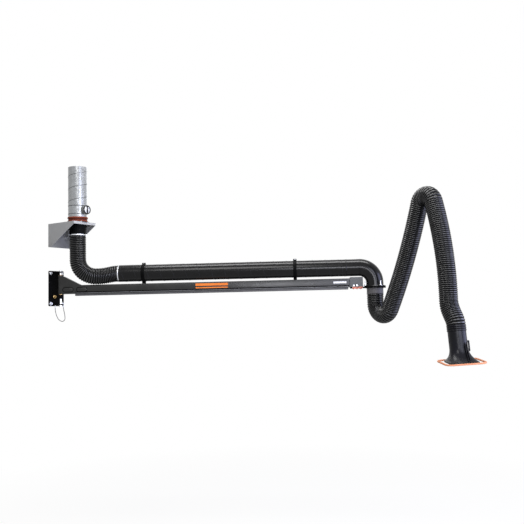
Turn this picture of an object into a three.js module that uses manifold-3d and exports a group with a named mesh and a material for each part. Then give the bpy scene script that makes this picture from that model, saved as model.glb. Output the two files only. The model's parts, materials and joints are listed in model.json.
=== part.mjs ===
// Wall-mounted fume extraction arm: a swinging boom with a rigid duct, and a hose arm with a hood.
// Millimetres, +Z up. Origin: middle of the wall plate's back face. +X points out of the wall.
import * as THREE from "three";
import { mergeVertices } from "three/addons/utils/BufferGeometryUtils.js";
import Module from "manifold-3d";

const wasm = await Module();
wasm.setup();

// Clearances
const seat = 0.3; // between pieces that touch
const running = 0.4; // between pieces that turn on each other
const weldMerge = 1e-4; // distance at which mesh corners become one

// Facets of round pieces
const pinSides = 16;
const ringSides = 20;
const ductSides = 24;
const bendSteps = 10;
const arcSteps = 6; // half the facets of a drawn arc
const cornerSteps = 3;

// Ducts and hoses
const ductRadius = 90; // rigid boom duct, outside
const ductWall = 1.5;
const riserRadius = 100; // riser above the console, outside
const riserHeight = 400;
const hoseRadius = 88; // crest of a rib
const hoseValley = 82;
const hoseBore = 78;
const ribPitch = 26;
const hoseSides = 8;
const ribsPerBoreRing = 5;
const ribsPerBendRing = 3;
const ribsPerTightRing = 2;
const clampWall = 3;
const clampWidth = 18;

// Inlet hose between the console and the boom duct
const inletRise = 160; // start of the bend above the boom duct
const inletPull = 110; // pull of the bends
const inletBack = 252; // lowest place, back from the boom duct
const inletLowAside = -34; // and beside it
const inletRest = 0.5; // hose above the beam
const inletRun = 40; // straight hose at the boom duct

// Wall plate and hinge
const plateWidth = 200;
const plateHeight = 380;
const plateThick = 10;
const plateCorner = 12;
const anchorRadius = 8;
const anchorInset = 26;
const hingeReach = 80; // wall to hinge axis
const lugThick = 12;
const lugRadius = 30;
const lugWidth = 96; // where the lug meets the plate
const lugInset = 8; // lug below the plate's edge
const pinRadius = 11;
const pinHeadRadius = 18;
const pinHeadHeight = 12;
const nutRadius = 19;
const nutHeight = 14;
const pinTail = 8;
const sleeveRadius = 27;
const sleeveTop = 140;
const bushRadius = 16;
const bushFlangeRadius = 24;
const bushFlange = 4;
const bushLength = 30;
const brakeRadius = 22;
const brakeHeight = 44;
const brakeEar = 26; // how far the clamping ear stands out
const brakeEarWidth = 26;
const brakeEarHeight = 28;
const brakeScrewRadius = 5;
const eyeRadius = 15;
const eyeWire = 4;
const eyeNeck = 14;
const eyeSides = 8;
const screwBite = 20; // screw length inside the ear

// Lanyard under the lower lug
const ropeRadius = 3.5;
const ropeSides = 6;
const ropeSteps = 30;
const ferruleRadius = 5;
const ferruleHeight = 24;
const lanyardEnds = [[40, -42], [98, 22]];
const lanyardRoute = [
  [40, -42, -207], [41, -42, -224], [50, -42, -262], [68, -38, -306], [92, -29, -341], [126, -12, -355],
  [147, -2, -338], [136, 10, -303], [117, 18, -262], [102, 22, -232], [98, 22, -219], [98, 22, -207],
];

// Console, riser and damper
const consoleOffset = 50; // sideways from the hinge
const consoleWidth = 300;
const consoleDepth = 410;
const consoleTop = 695;
const consoleSheet = 5;
const consoleDrop = 250;
const consoleLip = 22;
const consoleFoot = 40; // foot of a cheek along the wall
const ductInset = 110; // riser axis back from the console's front
const ductReach = consoleDepth - ductInset; // wall to riser axis
const spigotFlange = 122;
const spigotSheet = 4;
const spigotRise = 60;
const spigotCone = 70;
const spigotTail = 50;
const sleeveHeight = 52;
const sleeveWall = 4;
const damperHeight = 140;
const damperWall = 3;
const damperShaft = 6;
const bladeThick = 3;
const bladeGap = 4;
const bossRadius = 17;
const bossLength = 24;
const handleReach = 40; // riser skin to handle
const handleRadius = 47.5;
const handleThick = 14;
const handleRecess = 5;
const handleRim = 8;
const gripWidth = 10;
const gripHeight = 9;

// Boom
const boomTurn = 32; // degrees from the wall's normal, at rest
const boomReach = 3360; // hinge axis to swivel axis
const bracketReach = 260; // beam end to swivel axis
const beamLength = boomReach - bracketReach;
const beamWidth = 60;
const beamWall = 3;
const beamTop = 30;
const beamBottom = -64;
const gussetStart = 43;
const gussetEnd = 230;
const gussetTop = 126;
const beamHollowStart = 60;
const railStart = 166;
const railTail = 20; // beam past the rail's end
const railWidth = 50;
const railHeight = 21;
const railWall = 3;
const railSlot = 18;
const ductHeight = 143; // duct axis above the origin
const ductStart = 652;
const elbowCollar = 145; // straight end of the elbow
const elbowRadius = 160;
const clampInset = 258; // first clamp from the duct's start
const clampBack = 833; // second clamp from the swivel axis
const clampRing = 6;
const clampRingWidth = 36;
const clampFootWidth = 40;
const clampEarHeight = 12;
const clampEarWidth = 22;
const clampScrewRadius = 3;
const clampScrewReach = 16;
const bracketClear = 126; // bracket end to swivel axis
const bracketLength = bracketReach - bracketClear;
const bracketWidth = 66;
const bracketTop = 42;
const bracketWall = 4;

// Swivel under the elbow
const flangeRadius = 113;
const flangeThick = 16;
const flangeTop = -60;
const flangeTongue = 56;
const flangeBore = 84;
const lipRadius = 90;
const lipHeight = 5;
const collarRadius = 112; // elbow's own flange
const collarThick = 9;
const swivelBore = 74;
const swivelNeck = 24;
const cuffHeight = 61;
const cuffWall = 4;
const studRadius = 5;
const studRise = 46;
const studNutRadius = 8;
const studNutHeight = 9;
const studCircle = 101;
const studAngles = [60, 180, 300];

// Hose arm, drawn in its own upright plane with the swivel axis at 0
const armTurn = -58; // degrees from the boom, at rest
const armDrop = 91; // straight hose under the swivel
const shoulderBend = 132;
const lowerLean = 26.7; // degrees from upright
const lowerBow = 5.5; // degrees, the hose's bow at each end of the leg
const lowerLeg = 1124;
const elbowBend = 108;
const upperLean = 8.5;
const upperBow = 8.5;
const upperLeg = 1025.5;
const bendTail = 60; // straight hose kept at each end of a bend
const wristTail = 85;
const wristPull = 80;
const strapHalf = 16;
const lowerStrap = 10; // thickness of the single strap
const forkStrap = 6; // thickness of each fork strap
const frictionThick = 3.4;
const frictionRadius = 24;
const jointRadius = 6;
const jointHead = 11;
const jointHeadHeight = 7;
const spiderHeight = 14;
const spiderWidth = 24;
const spacerPlaces = [0.3, 0.75];
const spacerWidth = 24;

// Hood
const hoodShift = 84; // sideways step of the hose at the wrist
const hoodDrop = 148.2;
const hoodLean = 6; // degrees, neck from upright
const hoodYaw = -21; // degrees, the hood as turned on its collar
const collarHeight = 60;
const collarOuter = 85;
const collarBore = 66;
const collarSleeve = 25;
const collarRib = 3;
const collarRibHeight = 6;
const neckRadius = 83;
const neckInner = 80;
const neckTopInner = 76;
const neckShoulder = 20;
const neckLength = 143;
const flareHold = 85; // how far the flare follows the neck before it opens
const mouthShift = 38;
const mouthDrop = 268;
const mouthTilt = 12; // degrees
const mouthDepth = 250;
const mouthWidth = 270;
const mouthPower = 5; // squareness of the mouth
const hoodWall = 3;
const flareRings = 5;
const rimDepth = 294;
const rimWidth = 392;
const rimGap = 41; // finger gap at each side
const rimThick = 14;
const rimCorner = 70;
const rimInnerCorner = 46;
const hoodBladeDrop = 93;
const hoodBladeGap = 5;
const hoodShaft = 5;
const leverLength = 84;
const leverWidth = 16;
const leverThick = 12;
const leverGap = 11;

// Finishes
const finish = (color, roughness, metalness) =>
  new THREE.MeshStandardMaterial({ color, roughness, metalness });
const blackPaint = finish(0x17181a, 0.45, 0.2);
const greyPaint = finish(0x6f7478, 0.5, 0.3);
const zinc = finish(0xc9ccd0, 0.35, 0.9);
const yellowZinc = finish(0xb08a45, 0.4, 0.8);
const bronze = finish(0x9a7440, 0.45, 0.8);
const galvanised = finish(0xb4bac0, 0.4, 0.8);
const blackHose = finish(0x1b1c1f, 0.7, 0);
const blackDuct = finish(0x141517, 0.3, 0.3);
const greyPlastic = finish(0x77787c, 0.55, 0);
const orangeRubber = finish(0xb5652f, 0.6, 0);
const blackPlastic = finish(0x1e1f26, 0.45, 0);
const frictionLining = finish(0x4a4038, 0.9, 0);

const radians = (angle) => (angle * Math.PI) / 180;
// Radii of faceted duct pieces that turn on each other: room outside one, and what fits inside one
const facetShare = Math.cos(Math.PI / ductSides);
const roomFor = (radius) => (radius + running) / facetShare;
const fitIn = (radius) => radius * facetShare - running;

// Solids and cuts
function solidOf(geometry) {
  const bare = geometry.clone();
  bare.deleteAttribute("normal");
  bare.deleteAttribute("uv");
  const merged = mergeVertices(bare, weldMerge);
  const vertProperties = new Float32Array(merged.attributes.position.array);
  const triVerts = new Uint32Array(merged.index.array);
  return new wasm.Manifold(new wasm.Mesh({ numProp: 3, vertProperties, triVerts }));
}

function geometryOf(solid) {
  const mesh = solid.getMesh();
  const geometry = new THREE.BufferGeometry();
  geometry.setAttribute("position", new THREE.BufferAttribute(mesh.vertProperties, 3));
  geometry.setIndex(new THREE.BufferAttribute(mesh.triVerts, 1));
  return geometry;
}

const join = (...parts) => geometryOf(parts.map(solidOf).reduce((sum, part) => sum.add(part)));
const cut = (base, ...tools) =>
  geometryOf(tools.map(solidOf).reduce((left, tool) => left.subtract(tool), solidOf(base)));

// Basic shapes: round ones stand on the Z axis, then are laid along X or Y
function turned(profile, sides) {
  const points = profile.map(([radius, height]) => new THREE.Vector2(radius, height));
  return new THREE.LatheGeometry(points, sides).rotateX(Math.PI / 2);
}

const disc = (radius, low, high, sides) =>
  turned([[0, low], [radius, low], [radius, high], [0, high]], sides);
const ring = (outer, inner, low, high, sides) =>
  turned([[inner, low], [outer, low], [outer, high], [inner, high], [inner, low]], sides);
const axisX = new THREE.Vector3(1, 0, 0);
const axisY = new THREE.Vector3(0, 1, 0);
const axisZ = new THREE.Vector3(0, 0, 1);
const alongX = (geometry) => geometry.applyMatrix4(new THREE.Matrix4().makeBasis(axisY, axisZ, axisX));
const alongY = (geometry) => geometry.applyMatrix4(new THREE.Matrix4().makeBasis(axisZ, axisX, axisY));

function box(x0, x1, y0, y1, z0, z1) {
  const geometry = new THREE.BoxGeometry(x1 - x0, y1 - y0, z1 - z0);
  return geometry.translate((x0 + x1) / 2, (y0 + y1) / 2, (z0 + z1) / 2);
}

const slab = (shape, thickness, curveSegments = arcSteps) =>
  new THREE.ExtrudeGeometry(shape, { depth: thickness, bevelEnabled: false, curveSegments });
// A slab drawn in X and Z, standing between two places along Y
const upright = (shape, low, high) => slab(shape, high - low).rotateX(Math.PI / 2).translate(0, high, 0);

function outline(points) {
  const shape = new THREE.Shape();
  points.forEach(([x, y], i) => (i ? shape.lineTo(x, y) : shape.moveTo(x, y)));
  shape.closePath();
  return shape;
}

function roundedRectangle(width, height, corner, Kind = THREE.Shape) {
  const x = width / 2 - corner;
  const y = height / 2 - corner;
  const shape = new Kind();
  shape.moveTo(x + corner, -y);
  shape.absarc(x, y, corner, 0, Math.PI / 2, false);
  shape.absarc(-x, y, corner, Math.PI / 2, Math.PI, false);
  shape.absarc(-x, -y, corner, Math.PI, 1.5 * Math.PI, false);
  shape.absarc(x, -y, corner, 1.5 * Math.PI, 2 * Math.PI, false);
  return shape;
}

function addHole(shape, x, y, radius) {
  const hole = new THREE.Path();
  hole.absarc(x, y, radius, 0, 2 * Math.PI, true);
  shape.holes.push(hole);
}

// A flat strap along a bent route, with round ends
function strap(route, half) {
  const nodes = route.map(([x, y]) => new THREE.Vector2(x, y));
  const runs = nodes.slice(1).map((node, i) => node.clone().sub(nodes[i]).normalize());
  const edge = (side) =>
    nodes.map((node, i) => {
      const before = runs[Math.max(i - 1, 0)];
      const after = runs[Math.min(i, runs.length - 1)];
      const across = new THREE.Vector2(-before.y - after.y, before.x + after.x).normalize();
      const stretch = half / across.dot(new THREE.Vector2(-after.y, after.x));
      return node.clone().addScaledVector(across, side * stretch);
    });
  const [first, last] = [nodes[0], nodes[nodes.length - 1]];
  const startAngle = runs[0].angle();
  const endAngle = runs[runs.length - 1].angle();
  const shape = new THREE.Shape();
  edge(-1).forEach((point, i) => (i ? shape.lineTo(point.x, point.y) : shape.moveTo(point.x, point.y)));
  shape.absarc(last.x, last.y, half, endAngle - Math.PI / 2, endAngle + Math.PI / 2, false);
  edge(1).reverse().forEach((point) => shape.lineTo(point.x, point.y));
  shape.absarc(first.x, first.y, half, startAngle + Math.PI / 2, startAngle + 1.5 * Math.PI, false);
  return shape;
}

// Lofted walls: rings of points outside and inside, closed at both ends
function loft(outer, inner) {
  const sides = outer[0].length;
  const points = [...outer.flat(), ...inner.flat()];
  const at = (i, k) => i * sides + (k % sides);
  const innerAt = (i, k) => (outer.length + i) * sides + (k % sides);
  const faces = [];
  for (let k = 0; k < sides; k++) {
    for (let i = 0; i + 1 < outer.length; i++) {
      faces.push(at(i, k), at(i, k + 1), at(i + 1, k + 1), at(i, k), at(i + 1, k + 1), at(i + 1, k));
    }
    for (let i = 0; i + 1 < inner.length; i++) {
      const [a, b] = [innerAt(i, k), innerAt(i, k + 1)];
      const [c, d] = [innerAt(i + 1, k + 1), innerAt(i + 1, k)];
      faces.push(a, c, b, a, d, c);
    }
    const [o0, o1, i0, i1] = [at(0, k), at(0, k + 1), innerAt(0, k), innerAt(0, k + 1)];
    faces.push(o1, o0, i0, o1, i0, i1);
    const end = outer.length - 1;
    const innerEnd = inner.length - 1;
    const [p0, p1] = [at(end, k), at(end, k + 1)];
    const [q0, q1] = [innerAt(innerEnd, k), innerAt(innerEnd, k + 1)];
    faces.push(p0, p1, q1, p0, q1, q0);
  }
  const geometry = new THREE.BufferGeometry().setFromPoints(points);
  geometry.setIndex(faces);
  return geometry;
}

class UprightArc extends THREE.Curve {
  constructor(x, z, radius, from, to) {
    super();
    Object.assign(this, { x, z, radius, from, to });
  }

  getPoint(t, target = new THREE.Vector3()) {
    const angle = this.from + (this.to - this.from) * t;
    return target.set(this.x + this.radius * Math.cos(angle), 0, this.z + this.radius * Math.sin(angle));
  }
}

function routeOf(...curves) {
  const path = new THREE.CurvePath();
  curves.forEach((curve) => path.add(curve));
  return path;
}

function ringsAlong(path, steps) {
  const frames = path.computeFrenetFrames(steps);
  return (i, radius, sides) => {
    const centre = path.getPointAt(i / steps);
    return Array.from({ length: sides }, (unused, k) => {
      const angle = (2 * Math.PI * k) / sides;
      return centre
        .clone()
        .addScaledVector(frames.normals[i], radius * Math.cos(angle))
        .addScaledVector(frames.binormals[i], radius * Math.sin(angle));
    });
  };
}

// A plain duct along a path
function ductAlong(path, steps, outerRadius, innerRadius, sides) {
  const ringAt = ringsAlong(path, steps);
  const places = Array.from({ length: steps + 1 }, (unused, i) => i);
  return loft(
    places.map((i) => ringAt(i, outerRadius, sides)),
    places.map((i) => ringAt(i, innerRadius, sides)),
  );
}

// A ribbed hose: each rib is a crest ring and a valley ring, and the bore has a ring every few ribs
function ribbedHose(path, ribsPerRing) {
  const ribs = Math.round(path.getLength() / ribPitch);
  const steps = 2 * ribs;
  const ringAt = ringsAlong(path, steps);
  const outer = Array.from({ length: steps + 1 }, (unused, i) =>
    ringAt(i, i % 2 ? hoseValley : hoseRadius, hoseSides),
  );
  const inner = [];
  for (let i = 0; i < steps; i += 2 * ribsPerRing) inner.push(ringAt(i, hoseBore, hoseSides));
  inner.push(ringAt(steps, hoseBore, hoseSides));
  return loft(outer, inner);
}

const object = new THREE.Group();
function add(group, name, geometry, material) {
  const mesh = new THREE.Mesh(geometry, material);
  mesh.name = name;
  group.add(mesh);
  return mesh;
}

function place(parent, x, y, z) {
  const group = new THREE.Group();
  group.position.set(x, y, z);
  parent.add(group);
  return group;
}

// Wall plate and hinge
const lugTop = plateHeight / 2 - lugInset;
const lugLow = lugTop - lugThick;
const hinge = place(object, hingeReach, 0, 0);

function wallPlate() {
  const shape = roundedRectangle(plateWidth, plateHeight, plateCorner);
  const y = plateWidth / 2 - anchorInset;
  const z = plateHeight / 2 - anchorInset;
  [[-y, -z], [y, -z], [y, z], [-y, z]].forEach(([a, b]) => addHole(shape, a, b, anchorRadius));
  add(object, "wall_plate", alongX(slab(shape, plateThick, cornerSteps)), blackPaint);
}

function hingeLug(name, low) {
  const shape = new THREE.Shape();
  const back = plateThick + seat - hingeReach;
  shape.moveTo(back, -lugWidth / 2);
  shape.lineTo(0, -lugRadius);
  shape.absarc(0, 0, lugRadius, -Math.PI / 2, Math.PI / 2, false);
  shape.lineTo(back, lugWidth / 2);
  shape.closePath();
  addHole(shape, 0, 0, pinRadius + seat);
  add(hinge, name, slab(shape, lugThick, pinSides / 2).translate(0, 0, low), blackPaint);
}

function hingePin() {
  const head = lugTop + seat;
  const nut = -lugTop - seat;
  const profile = [
    [0, nut - nutHeight - pinTail], [pinRadius, nut - nutHeight - pinTail], [pinRadius, nut - nutHeight],
    [nutRadius, nut - nutHeight], [nutRadius, nut], [pinRadius, nut], [pinRadius, head],
    [pinHeadRadius, head], [pinHeadRadius, head + pinHeadHeight], [0, head + pinHeadHeight],
  ];
  add(hinge, "hinge_pin", turned(profile, pinSides), zinc);
}

const brakeTop = beamBottom - seat - bushFlange - seat;
const brakeMiddle = brakeTop - brakeHeight / 2;
const screwTip = -brakeRadius - brakeEar + screwBite;

function brakeCollar() {
  const body = disc(brakeRadius, brakeTop - brakeHeight, brakeTop, pinSides);
  const half = brakeEarHeight / 2;
  const reach = brakeRadius + brakeEar;
  const ear = box(-brakeEarWidth / 2, brakeEarWidth / 2, -reach, 0, brakeMiddle - half, brakeMiddle + half);
  const bore = disc(pinRadius + seat, brakeTop - 2 * brakeHeight, brakeTop + brakeHeight, pinSides);
  const thread = alongY(disc(brakeScrewRadius + running, -2 * reach, screwTip + running, pinSides));
  add(hinge, "brake_collar", cut(join(body, ear), bore, thread.translate(0, 0, brakeMiddle)), zinc);
}

function brakeScrew() {
  const outer = -brakeRadius - brakeEar - eyeNeck;
  const shank = alongY(disc(brakeScrewRadius, outer - eyeWire, screwTip, pinSides));
  const wire = Array.from({ length: eyeSides + 1 }, (unused, i) => {
    const angle = -Math.PI / 2 + (i * 2 * Math.PI) / eyeSides;
    return [eyeRadius + eyeWire * Math.cos(angle), eyeWire * Math.sin(angle)];
  });
  const eye = alongX(turned(wire, pinSides)).translate(0, outer - eyeRadius, 0);
  add(hinge, "brake_screw", join(shank, eye).translate(0, 0, brakeMiddle), yellowZinc);
}

function lanyard() {
  const ends = lanyardRoute.map(([x, y, z]) => new THREE.Vector3(x, y, z));
  const section = new THREE.Shape();
  for (let k = 0; k < ropeSides; k++) {
    const angle = (2 * k * Math.PI) / ropeSides;
    const [x, y] = [ropeRadius * Math.cos(angle), ropeRadius * Math.sin(angle)];
    k ? section.lineTo(x, y) : section.moveTo(x, y);
  }
  const extrudePath = new THREE.CatmullRomCurve3(ends);
  const rope = new THREE.ExtrudeGeometry(section, { steps: ropeSteps, extrudePath });
  add(object, "lanyard_rope", rope, zinc);
  const top = -lugTop - seat;
  lanyardEnds.forEach(([x, y], i) => {
    const ferrule = disc(ferruleRadius, top - ferruleHeight, top, hoseSides).translate(x, y, 0);
    add(object, "lanyard_ferrule_" + (i + 1), ferrule, zinc);
  });
}

wallPlate();
hingeLug("hinge_lug_upper", lugLow);
hingeLug("hinge_lug_lower", -lugTop);
hingePin();
brakeCollar();
brakeScrew();
lanyard();

// Console that carries the riser
const riser = place(object, ductReach, consoleOffset, 0);
const spigotTop = consoleTop + seat + spigotSheet;
const spigotEnd = consoleTop - consoleSheet - spigotCone - spigotTail;

function consoleBracket() {
  const [left, right] = [consoleOffset - consoleWidth / 2, consoleOffset + consoleWidth / 2];
  const under = consoleTop - consoleSheet;
  const deck = box(0, consoleDepth, left, right, under, consoleTop);
  const lipLeft = left + consoleSheet + seat;
  const lipRight = right - consoleSheet - seat;
  const lip = box(consoleDepth - consoleSheet, consoleDepth, lipLeft, lipRight, under - consoleLip, under);
  const bore = riserRadius - damperWall + seat;
  const opening = disc(bore, under - consoleLip, consoleTop + consoleLip, ductSides);
  opening.translate(ductReach, consoleOffset, 0);
  add(object, "console_deck", cut(join(deck, lip), opening), greyPaint);
  const top = under - seat;
  const low = consoleTop - consoleDrop;
  const cheek = outline([
    [0, low], [consoleFoot, low], [consoleDepth, top - consoleLip], [consoleDepth, top], [0, top],
  ]);
  add(object, "console_cheek_left", upright(cheek, left, left + consoleSheet), greyPaint);
  add(object, "console_cheek_right", upright(cheek, right - consoleSheet, right), greyPaint);
  const back = roundedRectangle(lipRight - lipLeft, top - low, consoleSheet);
  const reach = (lipRight - lipLeft) / 2 - anchorInset * 2;
  [-reach, reach].forEach((y) => addHole(back, y, 0, anchorRadius));
  const middle = (top + low) / 2;
  const sheet = alongX(slab(back, consoleSheet, cornerSteps));
  add(object, "console_back", sheet.translate(0, consoleOffset, middle), greyPaint);
}

// A flanged reducer from the riser down to the hose
function ductSpigot() {
  const wide = riserRadius - damperWall;
  const under = consoleTop - consoleSheet;
  const narrow = hoseRadius;
  const profile = [
    [narrow - spigotSheet, spigotEnd], [narrow, spigotEnd], [narrow, spigotEnd + spigotTail],
    [wide, under], [wide, consoleTop + seat], [spigotFlange, consoleTop + seat],
    [spigotFlange, spigotTop], [wide, spigotTop], [wide, spigotTop + spigotRise],
    [wide - spigotSheet, spigotTop + spigotRise], [wide - spigotSheet, under],
    [narrow - spigotSheet, spigotEnd + spigotTail], [narrow - spigotSheet, spigotEnd],
  ];
  add(riser, "duct_spigot", turned(profile, ductSides), blackPaint);
}

const sleeveLow = spigotTop + seat;
const damperLow = sleeveLow + sleeveHeight + seat;
const damperMiddle = damperLow + damperHeight / 2;
const riserLow = damperLow + damperHeight + seat;

function riserDuct() {
  const wide = riserRadius - damperWall + seat;
  const band = ring(riserRadius + sleeveWall, wide, sleeveLow, sleeveLow + sleeveHeight, ductSides);
  add(riser, "rubber_sleeve", band, orangeRubber);
  const inner = riserRadius - damperWall;
  const damperTop = damperLow + damperHeight;
  const shell = ring(riserRadius + seat, inner, damperLow, damperTop, ductSides);
  const bossStart = riserRadius - damperWall / 2;
  const boss = alongX(disc(bossRadius, bossStart, bossStart + bossLength, pinSides));
  boss.translate(0, 0, damperMiddle);
  const shaftHole = alongX(disc(damperShaft + running, -2 * riserRadius, 2 * riserRadius, pinSides));
  const core = disc(inner, damperLow, damperTop, ductSides);
  const bossOnly = cut(boss, core);
  shaftHole.translate(0, 0, damperMiddle);
  add(riser, "damper_housing", cut(join(shell, bossOnly), shaftHole), galvanised);
  const pipe = ring(riserRadius, riserRadius - ductWall, riserLow, riserLow + riserHeight, ductSides);
  add(riser, "riser_duct", pipe, galvanised);
}

const handleStart = riserRadius + handleReach;

function riserDamper() {
  const blade = alongY(disc(riserRadius - damperWall - bladeGap, -bladeThick / 2, bladeThick / 2, ductSides));
  const shaft = alongX(disc(damperShaft, -riserRadius - damperWall, handleStart - seat, pinSides));
  add(riser, "damper_blade", join(blade, shaft).translate(0, 0, damperMiddle), galvanised);
  const face = handleStart + handleThick;
  const profile = [
    [0, handleStart], [handleRadius, handleStart], [handleRadius, face], [handleRadius - handleRim, face],
    [handleRadius - handleRim, face - handleRecess], [0, face - handleRecess],
  ];
  const wheel = alongX(turned(profile, ductSides));
  const reach = handleRadius - handleRim / 2;
  const low = face - handleThick / 2;
  const grip = box(low, low + gripHeight, -gripWidth / 2, gripWidth / 2, -reach, reach);
  add(riser, "damper_handle", join(wheel, grip).translate(0, 0, damperMiddle), blackPlastic);
}

consoleBracket();
ductSpigot();
riserDuct();
riserDamper();

// Boom: everything here turns with it about the hinge
const boom = place(hinge, 0, 0, 0);
boom.rotation.z = radians(boomTurn);

function beam() {
  const side = outline([
    [0, beamBottom], [beamLength, beamBottom], [beamLength, beamTop], [gussetEnd, beamTop],
    [gussetStart, gussetTop], [0, gussetTop],
  ]);
  const half = beamWidth / 2;
  const solid = upright(side, -half, half);
  const hollow = box(beamHollowStart, beamLength + beamWidth, beamWall - half, half - beamWall,
    beamBottom + beamWall, beamTop - beamWall);
  const socket = disc(sleeveRadius + seat, beamBottom - sleeveTop, gussetTop + sleeveTop, ringSides);
  add(boom, "boom_beam", cut(solid, hollow, socket), blackPaint);
  const bore = bushRadius + seat;
  add(boom, "boom_sleeve", ring(sleeveRadius, bore, beamBottom, sleeveTop, ringSides), blackPaint);
}

function bushes() {
  const bore = pinRadius + running;
  const upper = [
    [bore, sleeveTop - bushLength], [bushRadius, sleeveTop - bushLength], [bushRadius, sleeveTop + seat],
    [bushFlangeRadius, sleeveTop + seat], [bushFlangeRadius, sleeveTop + seat + bushFlange],
    [bore, sleeveTop + seat + bushFlange], [bore, sleeveTop - bushLength],
  ];
  add(boom, "hinge_bush_upper", turned(upper, pinSides), bronze);
  const under = beamBottom - seat;
  const lower = [
    [bore, under - bushFlange], [bushFlangeRadius, under - bushFlange], [bushFlangeRadius, under],
    [bushRadius, under], [bushRadius, beamBottom + bushLength], [bore, beamBottom + bushLength],
    [bore, under - bushFlange],
  ];
  add(boom, "hinge_bush_lower", turned(lower, pinSides), bronze);
}

function slotRail() {
  const [half, inner, slot] = [railWidth / 2, railWidth / 2 - railWall, railSlot / 2];
  const top = beamBottom - seat;
  const low = top - railHeight;
  const section = outline([
    [-half, low], [-slot, low], [-slot, low + railWall], [-inner, low + railWall], [-inner, top - railWall],
    [inner, top - railWall], [inner, low + railWall], [slot, low + railWall], [slot, low], [half, low],
    [half, top], [-half, top],
  ]);
  const rail = alongX(slab(section, beamLength - railTail - railStart));
  add(boom, "slot_rail", rail.translate(railStart, 0, 0), blackPaint);
}

const elbowStart = boomReach - elbowRadius - elbowCollar;
const elbowEnd = ductHeight - elbowRadius;

function boomDuct() {
  const pipe = ring(ductRadius, ductRadius - ductWall, ductStart, elbowStart - seat, ductSides);
  add(boom, "boom_duct", alongX(pipe).translate(0, 0, ductHeight), blackDuct);
  const foot = flangeTop + seat;
  const bendStart = boomReach - elbowRadius;
  const path = routeOf(
    new THREE.LineCurve3(
      new THREE.Vector3(elbowStart, 0, ductHeight), new THREE.Vector3(bendStart, 0, ductHeight)),
    new UprightArc(bendStart, elbowEnd, elbowRadius, Math.PI / 2, 0),
    new THREE.LineCurve3(new THREE.Vector3(boomReach, 0, elbowEnd), new THREE.Vector3(boomReach, 0, foot)),
  );
  const bend = ductAlong(path, bendSteps, ductRadius, ductRadius - ductWall * 2, ductSides);
  const collar = ring(collarRadius, ductRadius - ductWall, foot, foot + collarThick, ductSides);
  add(boom, "elbow_duct", join(bend, collar.translate(boomReach, 0, 0)), blackDuct);
}

function tubeClamp(number, along) {
  const half = clampRingWidth / 2;
  const outer = ductRadius + seat + clampRing;
  const band = alongX(ring(outer, ductRadius + seat, along - half, along + half, ductSides));
  band.translate(0, 0, ductHeight);
  const footTop = ductHeight - ductRadius - seat - clampRing / 2;
  const foot = box(along - half, along + half, -clampFootWidth / 2, clampFootWidth / 2,
    beamTop + seat, footTop);
  const crown = ductHeight + ductRadius + seat + clampRing / 2;
  const ear = box(along - half, along + half, -clampEarWidth / 2, clampEarWidth / 2, crown,
    crown + clampEarHeight);
  const screwHeight = crown + clampEarHeight / 2 + clampRing / 4;
  const room = alongX(disc(ductRadius + seat, along - outer, along + outer, ductSides));
  room.translate(0, 0, ductHeight);
  const hole = alongY(disc(clampScrewRadius + seat, -outer, outer, hoseSides));
  hole.translate(along, 0, screwHeight);
  add(boom, "tube_clamp_" + number, cut(join(band, foot, ear), room, hole), blackPaint);
  const head = clampEarWidth / 2 + seat;
  const profile = [
    [0, -clampScrewReach], [clampScrewRadius, -clampScrewReach], [clampScrewRadius, head],
    [clampScrewRadius * 2, head], [clampScrewRadius * 2, head + clampScrewRadius],
    [0, head + clampScrewRadius],
  ];
  const screw = alongY(turned(profile, hoseSides)).translate(along, 0, screwHeight);
  add(boom, "tube_clamp_screw_" + number, screw, zinc);
}

function endBracket() {
  const half = bracketWidth / 2;
  const start = beamLength + seat;
  const under = flangeTop + seat;
  const shell = box(start, start + bracketLength, -half, half, under, bracketTop);
  const inside = box(start + bracketWall, start + bracketLength * 2, bracketWall - half, half - bracketWall,
    under + bracketWall, bracketTop - bracketWall);
  const room = disc(collarRadius + seat, under - bracketTop, under + collarThick + seat, ductSides);
  const bend = disc(ductRadius + seat, under - bracketTop, bracketTop * 2, ductSides);
  bend.translate(boomReach, 0, 0);
  add(boom, "end_bracket", cut(shell, inside, room.translate(boomReach, 0, 0), bend), greyPaint);
}

function swivelFlange() {
  const shape = new THREE.Shape();
  const start = beamLength + seat - boomReach;
  const touch = Math.asin(flangeTongue / 2 / flangeRadius);
  shape.moveTo(start, -flangeTongue / 2);
  shape.absarc(0, 0, flangeRadius, touch - Math.PI, Math.PI - touch, false);
  shape.lineTo(start, flangeTongue / 2);
  shape.closePath();
  addHole(shape, 0, 0, flangeBore);
  const plate = slab(shape, flangeThick, ductSides).translate(0, 0, flangeTop - flangeThick);
  const recess = disc(roomFor(lipRadius), flangeTop - lipHeight - running, flangeTop + lipHeight, ductSides);
  add(boom, "swivel_flange", cut(plate, recess).translate(boomReach, 0, 0), blackPaint);
  const foot = flangeTop + seat + collarThick + seat;
  studAngles.forEach((angle, i) => {
    const profile = [
      [0, foot], [studNutRadius, foot], [studNutRadius, foot + studNutHeight],
      [studRadius, foot + studNutHeight], [studRadius, foot + studRise], [0, foot + studRise],
    ];
    const stud = turned(profile, hoseSides);
    const [x, y] = [studCircle * Math.cos(radians(angle)), studCircle * Math.sin(radians(angle))];
    add(boom, "flange_stud_" + (i + 1), stud.translate(boomReach + x, y, 0), zinc);
  });
}

beam();
bushes();
slotRail();
boomDuct();
tubeClamp(1, ductStart + clampInset);
tubeClamp(2, boomReach - clampBack);
endBracket();
swivelFlange();

// Inlet hose from the console to the boom duct, and its two clamps
function hoseClamp(low) {
  const inner = hoseRadius / facetShare + seat / 3;
  return ring(inner + clampWall, inner, low, low + clampWidth, ductSides);
}

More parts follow.
